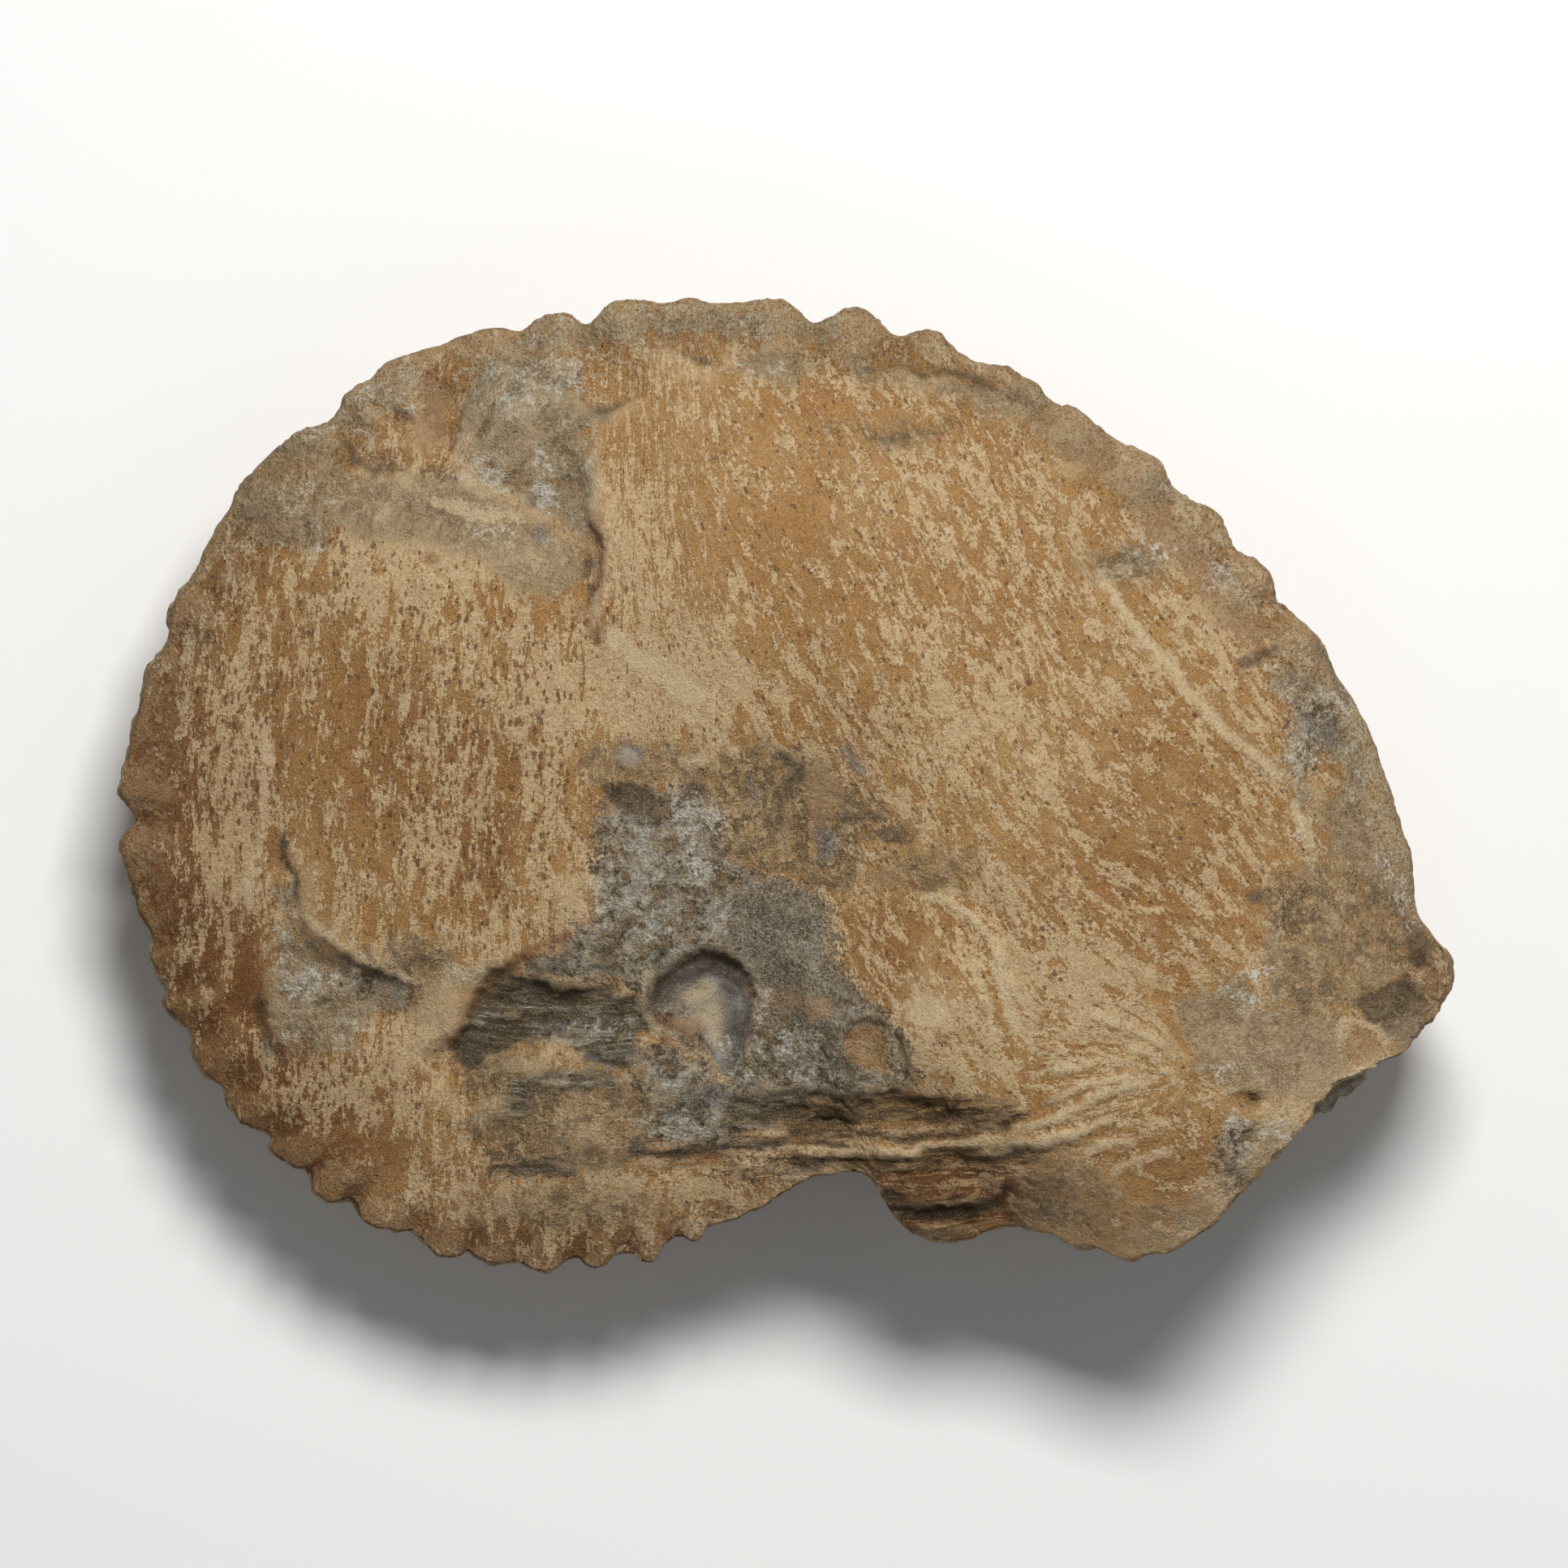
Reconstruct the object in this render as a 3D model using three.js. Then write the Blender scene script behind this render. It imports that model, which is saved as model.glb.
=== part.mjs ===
// A fossil ammonite: the stone inside mould of a flat, tightly coiled shell, lying on one flank.
// Millimetres, +Z up. The origin is under the middle of the plan, on the flat the stone rests on.
// The surface is woven from rings: down the top flank, round the edge and in along the under flank.
import * as THREE from "three";

// --- driving dimensions -------------------------------------------------------------------------
const CENTRE = [-3.5, -7.5]; // middle of the coil, where every ring closes in
const KEEL_HEIGHT = 17.4; // middle plane of the coil at x = 0
const KEEL_TILT = 0.05; // the coil thickens towards its mouth, so its middle plane rises with x
const VENTER_HALF = 4.6; // half width of the flat outer edge, between its two bead rows
const VENTER_HOLLOW = 0.4; // how far that flat edge dips between the bead rows
const LOWER_ROW_INSET = 0.7; // the lower bead row stands this far inside the upper one
const BEAD_REACH = 5; // beads run out this far onto the flank
const BEAD_LIFT = 0.45; // height of a bead on the flank, against its outward bulge
const BREAK_WAVE = 0.9; // unevenness of the broken walls
const BREAK_SET_BACK = 0.8; // how far they hollow in below the upper rim
const UMBILICUS_TOP = 32; // height of the matrix in the middle of the top flank
const REST_START = 0.6; // share of the way in at which the under flank reaches its worn flat
const UNDER_UMBILICUS = { start: 0.88, depth: 4.5 };

// Crown height of the top flank by direction from the umbilicus, degrees from +X.
const CROWN = [
  [-180, 29.5], [-135, 28], [-105, 28.5], [-80, 31.5], [-60, 35.5], [-30, 38],
  [0, 38], [45, 37], [90, 35], [135, 31.5], [180, 29.5],
];

// Outer edge from its lower end round the left, top and right to the mouth. Each row is the notch
// before a bead, x and y, then how far the bead bulges out of the line to the next notch.
const BEADS = [
  [-7.8, -44, 1], [-10.7, -44.8, 1.8], [-15.7, -46.5, 1.4], [-21, -47, 1.2], [-26.6, -47.2, 0.8],
  [-31.4, -46.3, 1.6], [-37, -44.2, 1.5], [-42.9, -41.4, 1.4], [-47.2, -38.5, 1.2],
  [-50.7, -35.1, 1.4], [-55.6, -29.9, 1], [-59, -24.7, 0.9], [-61.1, -20.6, 0.8],
  [-62.5, -15.6, 0.2], [-64.7, -10.4, 1.2], [-64.4, -3.5, 1.2], [-65, 3.5, 0.2], [-63.7, 9.3, 0.6],
  [-61.1, 14.5, 0.9], [-58.7, 20.4, 0.2], [-55.8, 26, 0.2], [-52.5, 31.2, 0.9], [-44.6, 36.2, 0.7],
  [-41.1, 39.8, 0.9], [-33.7, 43.4, 0.9], [-25.8, 45, 1.3], [-19.6, 45.6, 1.4], [-12.1, 47.7, 0.4],
  [-5.7, 47.7, 1.5], [3.2, 45.8, 2], [11.7, 44.2, 1.8], [19.1, 41.7, 1], [26.6, 37.6, 0.7],
  [32.7, 33.8, 1.4], [38.9, 28.7, 1.2], [44.4, 23.2, 1.2], [49.3, 17.4, 1.2], [54.5, 10.4, 0.3],
  [59, 2.1, 0.2], [61.2, -4.7, 0.2],
];
// Broken edge: the mouth, then the inner side of the last whorl back to the first bead. Each row is
// x, y and how far from the umbilicus the unbroken edge would lie in that direction.
const BREAK = [
  [62.5, -12.6, 66.2], [64.4, -15.2, 68.4], [65.9, -17.8, 70.2], [66.1, -19.1, 70.7],
  [65.8, -20.3, 71.2], [63.8, -23.5, 72.3], [60.8, -26.6, 73.5], [57.4, -28.3, 74.6],
  [54.2, -29.6, 75.2], [52.2, -32.5, 76.4], [48.7, -36.3, 77.8], [45.1, -40, 78.2], [42.7, -43, 77.5],
  [39, -45.5, 73.9], [34.2, -47, 66.2], [30.2, -45.6, 59.3], [26.6, -44.5, 53.4], [22.7, -43.7, 49],
  [18.7, -44.9, 46.8], [15.4, -45.2, 45.6], [12.6, -44.4, 44.3], [10.6, -42.3, 43.5], [8.8, -39, 42.8],
  [6.6, -38.3, 41], [2.7, -38.7, 39.3], [-2.3, -42, 37.9], [-6.2, -43.5, 37.2],
];
const SCAR = { at: [55, -30.5], reach: 5, out: 3 }; // far half of the mouth, standing out below

// --- relief of the top flank ------------------------------------------------------------------
// Ledges: the surface drops on the right-hand side of the line and recovers over `reach`.
const LEDGES = [
  { // edge of the preserved flank above the broken upper left
    line: [[-13.3, 38.9], [-17.7, 36.9], [-19.2, 32.5], [-19.3, 26.9], [-17.7, 22], [-18.7, 18], [-19.1, 13]],
    drop: 2.8, edge: 2.2, reach: 20,
  },
  { // lower edge of the preserved flank on the left
    line: [[-49.6, -13.5], [-46.5, -14.9], [-42.9, -16.1], [-38.9, -18.2], [-36.1, -19.7], [-31.7, -20.5]],
    drop: 2, edge: 1.8, reach: 11,
  },
  { // shoulder above the deep layered recess
    line: [[-35.7, -27], [-32.6, -24.8], [-30.9, -21.9], [-28.3, -18.7], [-24.9, -15.5], [-19.5, -14.5]],
    drop: 4.4, edge: 2.4, reach: 15,
  },
  { // brink of the terrace under the umbilicus
    line: [[-7.7, -31.2], [-3.3, -30.5], [2.7, -30.2], [10.7, -30.3], [21.1, -30.9]],
    drop: 2.6, edge: 1.6, reach: 7,
  },
  { line: [[40.3, -29.1], [38.7, -25.9], [37.9, -22.7], [35.5, -19.9]], drop: 0.9, edge: 1.6, reach: 14 },
  { line: [[-50.1, -27.1], [-53.9, -22.7], [-54.4, -18.7], [-51.7, -10.3]], drop: 0.9, edge: 1.6, reach: 6 },
  { // shoulder at the top, with the bead row below it
    line: [[28.5, 33.7], [20.7, 39.3], [14.7, 40.3], [9.1, 41.3], [2, 42.6]],
    drop: 2.2, edge: 2, reach: 9,
  },
  { line: [[-5.3, 41], [-10.1, 42.4], [-17.3, 42.8]], drop: 1.4, edge: 1.8, reach: 8 },
  { line: [[-30.1, 42.1], [-32.1, 37.3], [-32.7, 32.5], [-31.5, 26.5]], drop: 1.5, edge: 1.8, reach: 5 },
];
// Grooves (depth over zero) and ridges (depth under zero), with their half width.
const GROOVES = [
  { line: [[-14.5, -35.9], [-10.9, -36.6], [-5.3, -35.5], [14.7, -34.7]], depth: 2.6, half: 1.4 },
  { line: [[-5.3, -30.9], [2.7, -30.6], [10.7, -30.8], [19, -31.3]], depth: 1.6, half: 1.3 },
  { line: [[-49.1, -5], [-47.8, -9.1], [-49.3, -13.9]], depth: 1.4, half: 1.1 },
  { line: [[-51.7, -21.8], [-50.5, -25.5], [-49.6, -27]], depth: 1.2, half: 1 },
  { line: [[10.7, -42.1], [13.1, -42.5], [19.5, -42.6]], depth: 1.8, half: 1.2 },
  { line: [[22.1, -38.9], [21.3, -41.1], [19.7, -42.4]], depth: 3, half: 1.6 },
  { line: [[-27.7, -19.8], [-22.9, -19.7], [-14.1, -19.8]], depth: 1.4, half: 0.9 },
  { line: [[2.7, -36.9], [9.9, -37.1], [22.7, -35.4], [30.7, -32.4]], depth: -1.3, half: 1.2 },
  { line: [[21.9, -33.2], [25.9, -31.5], [35.5, -29.3]], depth: -1, half: 0.9 },
  { line: [[25.9, -28.8], [30.7, -28.2], [36.7, -28.4]], depth: -0.8, half: 0.9 },
  { line: [[29.9, 21.3], [33.5, 15.3], [37.9, 10.5], [42.7, 5.3], [47.5, 2.1]], depth: -0.9, half: 1.6 },
];
// Lumps (height over zero) and hollows (height under zero): x, y, half sizes, height. A `brim` is
// the width of the wall of a flat-floored hollow, as a share of its half size.
const LUMPS = [
  { at: [13.9, -20.7], half: [10.5, 11], height: 2.4 }, // inner whorl
  { at: [-25.3, 34.1], half: [7, 9.5], height: 1.5 },
  { at: [-38.9, 38.9], half: [6, 3.5], height: 1.2 },
  { at: [-49.3, 27.7], half: [6, 5.5], height: 1.3 },
  { at: [-40.1, 32.9], half: [5, 3.5], height: -1.1 },
  { at: [-33.7, 35.7], half: [2.6, 6], height: -1.4 },
  { at: [-33.3, 26.5], half: [13, 5], height: -0.7 },
  { at: [-42.1, -20.7], half: [9, 6], height: -1.1, brim: 0.4 },
  { at: [-22.1, -22.6], half: [12, 6], height: -1.6 },
  { at: [8.9, -25.8], half: [3.6, 4], height: -1.7, brim: 0.4 }, // small arched hollow
  { at: [33.1, 21.3], half: [4.5, 2.2], height: -1.6 },
  { at: [45.7, -30.7], half: [1.8, 1.5], height: -1.5 },
  { at: [15.5, -44.2], half: [5.5, 2.4], height: 1.2 },
];
// Sunken floors within a rim. The floor deepens by `lean` per mm along +X and +Y from its `level`.
const FLOORS = [
  { // half-moon hollow beside the umbilicus
    rim: [
      [-13.3, -22.3], [-13, -19.9], [-11.8, -17.9], [-8.5, -16.2], [-6.5, -16.5], [-3.3, -19.1],
      [-2.7, -21.5], [-3.5, -26.3], [-4.9, -29.1], [-6.1, -28.5], [-8.9, -24.7], [-11.3, -23.7],
    ],
    depth: 3, wall: 1.4, lean: 0.16, level: [-8, -23],
  },
  { // matrix over the umbilicus, where the shell layer is gone
    rim: [
      [-18.5, -3], [-18, 4.5], [-12, 5.2], [-5, 4], [3, 5], [8, 2], [11, -3], [12.5, -8], [8, -10],
      [6, -14], [8, -19], [7, -23], [2, -29], [-13, -29], [-15, -17], [-18.5, -13],
    ],
    depth: 1.1, wall: 2.4, lean: 0, level: [0, 0],
  },
];
// Rough, broken ground: x, y, half sizes, height of the unevenness.
const ROUGH = [
  [-36, 34, 19, 11, 0.5], [-8, 44, 12, 5, 0.4], [-8, -18, 17, 17, 0.35], [-43, -21, 9, 6, 0.4],
  [5, -35, 24, 6, 0.35], [-22, -24, 12, 8, 0.5], [52, -8, 10, 8, 0.25],
];

// --- mesh density -----------------------------------------------------------------------------
const PER_BEAD = 5; // points along each bead
const PER_BREAK = 2; // points along each step of the broken edge
const WALL_LEVELS = 5; // bands between the upper and lower bead rows
const EDGE_RINGS = [0.02, 0.055]; // rings that carry the beads onto the flank
const TOP_RINGS = { count: 24, spacing: 2.05, fine: 1.5 };
const UNDER_RINGS = { count: 8, spacing: 3.6 };
const MEAN_RADIUS = 52;

// --- small helpers ----------------------------------------------------------------------------
const lerp = THREE.MathUtils.lerp;
const clamp01 = (v) => Math.min(Math.max(v, 0), 1);
const smooth = (from, to, v) => {
  const u = clamp01((v - from) / (to - from));
  return u * u * (3 - 2 * u);
};

// Side of the nearest place on a line (right-hand side over zero), distance, and share along it.
function besideLine(line, x, y) {
  const best = { off: Infinity, side: 1, along: 0 };
  for (let i = 0; i + 1 < line.length; i++) {
    const [ax, ay] = line[i];
    const [dx, dy] = [line[i + 1][0] - ax, line[i + 1][1] - ay];
    const t = clamp01(((x - ax) * dx + (y - ay) * dy) / (dx * dx + dy * dy));
    const [ox, oy] = [x - ax - t * dx, y - ay - t * dy];
    const off = Math.hypot(ox, oy);
    if (off < best.off - 1e-9) {
      best.off = off;
      best.side = Math.sign((x - ax) * dy - (y - ay) * dx) || 1;
      best.along = (i + t) / (line.length - 1);
    }
  }
  best.ends = smooth(0, 0.18, best.along) * smooth(1, 0.82, best.along);
  return best;
}

function insideOf(rim, x, y) {
  let inside = false;
  rim.forEach(([ax, ay], i) => {
    const [bx, by] = rim[(i + 1) % rim.length];
    if (ay > y !== by > y && x < ax + ((y - ay) * (bx - ax)) / (by - ay)) inside = !inside;
  });
  return inside;
}

const wave = (x, y, z) =>
  0.6 * Math.sin(0.83 * x + 1.7 * Math.sin(0.47 * y + 0.3 * z)) * Math.sin(0.91 * y + 1.3 * z) +
  0.4 * Math.sin(1.37 * y - 0.9 * x + 0.8 * z) * Math.sin(1.21 * x + 0.4 * z);

function relief(x, y) {
  let z = 0;
  for (const { line, drop, edge, reach } of LEDGES) {
    const { off, side, ends } = besideLine(line, x, y);
    const d = off * side;
    z -= drop * ends * smooth(-edge / 2, edge / 2, d) * (1 - smooth(edge, reach, d));
  }
  for (const { line, depth, half } of GROOVES) {
    const { off, ends } = besideLine(line, x, y);
    z -= depth * ends * (1 - smooth(0, 2 * half, off));
  }
  for (const { at, half, height, brim = 1 } of LUMPS) {
    const q = Math.hypot((x - at[0]) / half[0], (y - at[1]) / half[1]);
    z += height * smooth(1, 1 - brim, q);
  }
  for (const { rim, depth, wall, lean, level } of FLOORS) {
    if (!insideOf(rim, x, y)) continue;
    const { off } = besideLine([...rim, rim[0]], x, y);
    z -= (depth + lean * (x - level[0] + y - level[1])) * smooth(0, wall, off);
  }
  for (const [cx, cy, rx, ry, height] of ROUGH)
    z += height * smooth(1, 0.5, Math.hypot((x - cx) / rx, (y - cy) / ry)) * wave(x, y, 0);
  return z;
}

// --- the edge of the coil -----------------------------------------------------------------------
const STOPS = BEADS.length + BREAK.length;
const edgeCurve = new THREE.CatmullRomCurve3(
  [...BEADS, ...BREAK].map(([x, y]) => new THREE.Vector3(x, y, 0)),
  true,
  "centripetal",
);
edgeCurve.arcLengthDivisions = 20 * STOPS;

// What the edge does at a share `t` of its stops: place, outward direction, bead, distance from the
// umbilicus and the same distance before it was broken.
function edgeAt(t) {
  const place = edgeCurve.getPoint(t);
  const along = edgeCurve.getTangent(t);
  const stop = t * STOPS;
  const i = Math.floor(stop) % STOPS;
  const u = stop - Math.floor(stop);
  const fullOf = (k) => (k < BEADS.length ? null : BREAK[k - BEADS.length][2]);
  const radius = Math.hypot(place.x - CENTRE[0], place.y - CENTRE[1]);
  return {
    x: place.x,
    y: place.y,
    out: [-along.y, along.x],
    bead: i < BEADS.length ? BEADS[i][2] * Math.sin(Math.PI * u) ** 0.8 : 0,
    radius,
    full: i < BEADS.length - 1 ? radius : lerp(fullOf(i) ?? radius, fullOf((i + 1) % STOPS) ?? radius, u),
    broken: i < BEADS.length ? 0 : 1,
  };
}

// Plan place of an edge sample moved a share `inward` of the way to the umbilicus, and `depth`, its
// share of the way in from the unbroken edge. The rings turn from the outline into circles.
function ringPlace(edge, inward) {
  const [dx, dy] = [(edge.x - CENTRE[0]) / edge.radius, (edge.y - CENTRE[1]) / edge.radius];
  const reach = (1 - inward) * lerp(edge.radius, MEAN_RADIUS, inward ** 1.5);
  const bead = edge.bead * (1 - smooth(0, BEAD_REACH, edge.radius - reach));
  return {
    x: CENTRE[0] + dx * reach + edge.out[0] * bead,
    y: CENTRE[1] + dy * reach + edge.out[1] * bead,
    depth: clamp01(1 - reach / edge.full),
  };
}

function crownAt(x, y) {
  const angle = THREE.MathUtils.radToDeg(Math.atan2(y - CENTRE[1], x - CENTRE[0]));
  const i = Math.max(1, CROWN.findIndex(([a]) => a >= angle));
  const [[a, za], [b, zb]] = [CROWN[i - 1], CROWN[i]];
  return lerp(za, zb, smooth(a, b, angle));
}

const middlePlane = (x) => KEEL_HEIGHT + KEEL_TILT * x;

function topPoint(edge, inward) {
  const { x, y, depth } = ringPlace(edge, inward);
  const swell = 1 - (1 - clamp01(depth / 0.72)) ** 2.3;
  const flank = lerp(middlePlane(edge.x) + VENTER_HALF, crownAt(x, y), swell);
  const domed = lerp(flank, UMBILICUS_TOP, smooth(0.5, 1, depth));
  const nodule = edge.bead * BEAD_LIFT * smooth(0.12, 0.02, inward);
  return [x, y, domed + nodule + relief(x, y) * lerp(0.35, 1, smooth(0, 0.08, inward))];
}

function underPoint(edge, inward) {
  const { x, y, depth } = ringPlace(edge, inward);
  if (inward >= REST_START) return [x, y, UNDER_UMBILICUS.depth * smooth(UNDER_UMBILICUS.start, 1, inward)];
  const left = (1 - clamp01(depth / REST_START)) ** 2; // what is left of the height of the edge
  const rib = edge.bead * BEAD_LIFT * smooth(0.35, 0.02, inward) * left;
  const inset = LOWER_ROW_INSET * left;
  return [
    x - inset * edge.out[0],
    y - inset * edge.out[1],
    (middlePlane(edge.x) - VENTER_HALF) * left - rib,
  ];
}

// Between the bead rows: a shallow channel on the venter, an uneven wall where the stone is broken.
function wallPoint(edge, level) {
  const [upper, lower] = [topPoint(edge, 0), underPoint(edge, 0)];
  const [x, y, z] = upper.map((v, k) => lerp(v, lower[k], level));
  const mid = Math.sin(Math.PI * level);
  const scar = smooth(SCAR.reach, 0, Math.hypot(edge.x - SCAR.at[0], edge.y - SCAR.at[1]));
  const channel = -(VENTER_HOLLOW + 0.5 * edge.bead);
  const standing = SCAR.out * scar * smooth(0.2, 0.5, level);
  const torn = BREAK_WAVE * wave(edge.x, edge.y, z) - BREAK_SET_BACK + standing;
  const out = (edge.broken ? torn : channel) * mid;
  return [x + edge.out[0] * out, y + edge.out[1] * out, z];
}

// --- weaving ------------------------------------------------------------------------------------
const shares = (count) => Array.from({ length: count }, (_, i) => i / count);
const edgeStops = [];
for (let i = 0; i < STOPS; i++)
  for (const u of shares(i < BEADS.length ? PER_BEAD : PER_BREAK)) edgeStops.push((i + u) / STOPS);
const edgeLength = edgeCurve.getLength();
function evenStops(inward, spacing) {
  const count = Math.max(8, Math.round((edgeLength * (1 - inward)) / spacing));
  return shares(count).map((u) => edgeCurve.getUtoTmapping(u));
}

// Rings from the middle of the top flank, out over the edge, to the middle of the under flank.
const rings = [];
const addRing = (stops, place) => rings.push(stops.map((t) => ({ t, at: place(edgeAt(t)) })));
for (let i = TOP_RINGS.count; i > 1; i--) {
  const inward = 0.055 + (0.945 * (i - 1)) / TOP_RINGS.count;
  const spacing = lerp(TOP_RINGS.spacing, TOP_RINGS.fine, smooth(0.35, 0.7, inward));
  addRing(evenStops(inward, spacing), (edge) => topPoint(edge, inward));
}
for (const inward of EDGE_RINGS.toReversed()) addRing(edgeStops, (edge) => topPoint(edge, inward));
for (let i = 0; i <= WALL_LEVELS; i++) addRing(edgeStops, (edge) => wallPoint(edge, i / WALL_LEVELS));
addRing(edgeStops, (edge) => underPoint(edge, 0.04));
for (let i = 1; i <= UNDER_RINGS.count; i++) {
  const inward = 0.04 + ((REST_START - 0.04) * i) / UNDER_RINGS.count;
  addRing(evenStops(inward, UNDER_RINGS.spacing), (edge) => underPoint(edge, inward));
}
for (const inward of [UNDER_UMBILICUS.start, 0.93, 0.97])
  addRing(evenStops(inward, 2.4), (edge) => underPoint(edge, inward));

const positions = [];
const faces = [];
const addPoint = (at) => positions.push(...at) / 3 - 1;
for (const ring of rings) for (const point of ring) point.index = addPoint(point.at);

// Triangles between two neighbouring rings, always stepping along the one that lags.
function weave(upper, lower) {
  for (let a = 0, b = 0; a < upper.length || b < lower.length; ) {
    const [pa, pb] = [upper[a % upper.length], lower[b % lower.length]];
    const nextA = a < upper.length ? (upper[a + 1]?.t ?? 1) : Infinity;
    const nextB = b < lower.length ? (lower[b + 1]?.t ?? 1) : Infinity;
    if (nextA <= nextB) faces.push(pb.index, pa.index, upper[++a % upper.length].index);
    else faces.push(pb.index, pa.index, lower[++b % lower.length].index);
  }
}
rings.slice(1).forEach((ring, i) => weave(rings[i], ring));

// Close the middle of each flank with a fan.
function cap(ring, z, upward) {
  const middle = addPoint([...CENTRE, z]);
  ring.forEach(({ index }, i) => {
    const next = ring[(i + 1) % ring.length].index;
    faces.push(middle, ...(upward ? [next, index] : [index, next]));
  });
}
cap(rings[0], UMBILICUS_TOP + relief(...CENTRE), true);
cap(rings.at(-1), UNDER_UMBILICUS.depth, false);

const geometry = new THREE.BufferGeometry();
geometry.setAttribute("position", new THREE.Float32BufferAttribute(positions, 3));
geometry.setIndex(faces);
const stone = new THREE.MeshStandardMaterial({ color: 0xb5935f, roughness: 0.9, metalness: 0 });
const ammonite = new THREE.Mesh(geometry, stone);
ammonite.name = "ammonite";

const part = new THREE.Group();
part.add(ammonite);
export default part;
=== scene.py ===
"""Visual model of a fossil ammonite that lies on its flank.

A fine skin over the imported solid, its stone, and the stage. Lengths are in millimetres up to the mesh.
"""

import math

import bpy
import numpy as np
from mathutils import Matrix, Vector, noise


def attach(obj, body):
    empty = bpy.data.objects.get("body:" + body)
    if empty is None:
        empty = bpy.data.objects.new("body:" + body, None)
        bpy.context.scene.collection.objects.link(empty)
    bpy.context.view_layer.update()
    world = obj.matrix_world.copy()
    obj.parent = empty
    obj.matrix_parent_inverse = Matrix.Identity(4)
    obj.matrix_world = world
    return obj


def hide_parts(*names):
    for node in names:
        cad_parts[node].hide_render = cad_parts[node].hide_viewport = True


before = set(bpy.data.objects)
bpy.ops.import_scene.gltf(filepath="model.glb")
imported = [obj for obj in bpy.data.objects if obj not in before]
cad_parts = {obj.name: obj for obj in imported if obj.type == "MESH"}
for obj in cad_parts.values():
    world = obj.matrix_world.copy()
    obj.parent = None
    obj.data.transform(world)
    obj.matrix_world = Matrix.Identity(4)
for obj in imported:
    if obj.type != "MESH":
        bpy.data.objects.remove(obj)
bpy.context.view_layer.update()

# ---- the form -----------------------------------------------------------------------------------
CENTRE, MEAN_RADIUS = (-3.5, -7.5), 52.0  # the middle of the coil and its usual size
KEEL_HEIGHT, KEEL_TILT = 17.4, 0.05  # the middle of the outer side, and its rise to the right
VENTER_HALF, VENTER_HOLLOW = 4.6, 0.4  # half the width of the outer side, and how deep it is hollowed
BEAD_HOLLOW = 0.5  # how much deeper the outer side is at a bead
BEAD_REACH, BEAD_LIFT = 5.5, 0.8  # how far inward the beads reach, and how much higher they stand
BEAD_START = 0.02  # share of the way in where that extra height starts to fade
BEAD_END, RIB_END = 0.12, 0.35  # and where it ends, on top and below
EDGE_RELIEF, RELIEF_FULL = 0.35, 0.08  # relief left at the edge, and where it is whole
LOWER_ROW_INSET = 0.7  # how far the lower bead row stands back
CIRCLE_POWER = 1.5  # how late the rings turn from the outline to a circle
CROWN_FULL, CROWN_ROUND = 0.72, 2.3  # share of the way in where the flank is full, and its roundness
UMBILICUS_TOP, UMBILICUS_START = 32.0, 0.5  # the coil's middle on top, and where the flank turns to it
REST_START = 0.6  # share of the way in where the flat of the under side starts
DIMPLE_START, DIMPLE_DEPTH = 0.88, 4.5  # the hollow in the middle of that flat
SHOULDER, SHOULDER_SHARE = 0.5, 0.14  # rounding at the rims of the wall, and its share of the wall
# Height of the crown, by direction in degrees.
CROWN = [
    (-180, 29.5), (-135, 28), (-105, 28.5), (-80, 31.5), (-60, 35.5), (-30, 38),
    (0, 38), (45, 37), (90, 35), (135, 31.5), (180, 29.5),
]
# Distance from the middle of the coil to its unbroken edge, by direction in degrees, over the break.
UNBROKEN = [
    (-4.4, 66.2), (-9.5, 70.7), (-21, 75.2), (-33.8, 78.2), (-41.8, 73.9), (-48.5, 59.3), (-54.1, 49),
    (-63.4, 45.6), (-71.8, 41), (-88, 37.9),
]
TORN_WAVE, TORN_IN = 0.9, 0.8  # unevenness of a broken wall, and how far it stands back
SCAR_AT, SCAR_REACH, SCAR_OUT = (55.0, -30.5), 5.0, 3.0  # where the break juts out
SCAR_LEVELS = (0.2, 0.5)  # shares of the way down the wall between which it comes out

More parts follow.
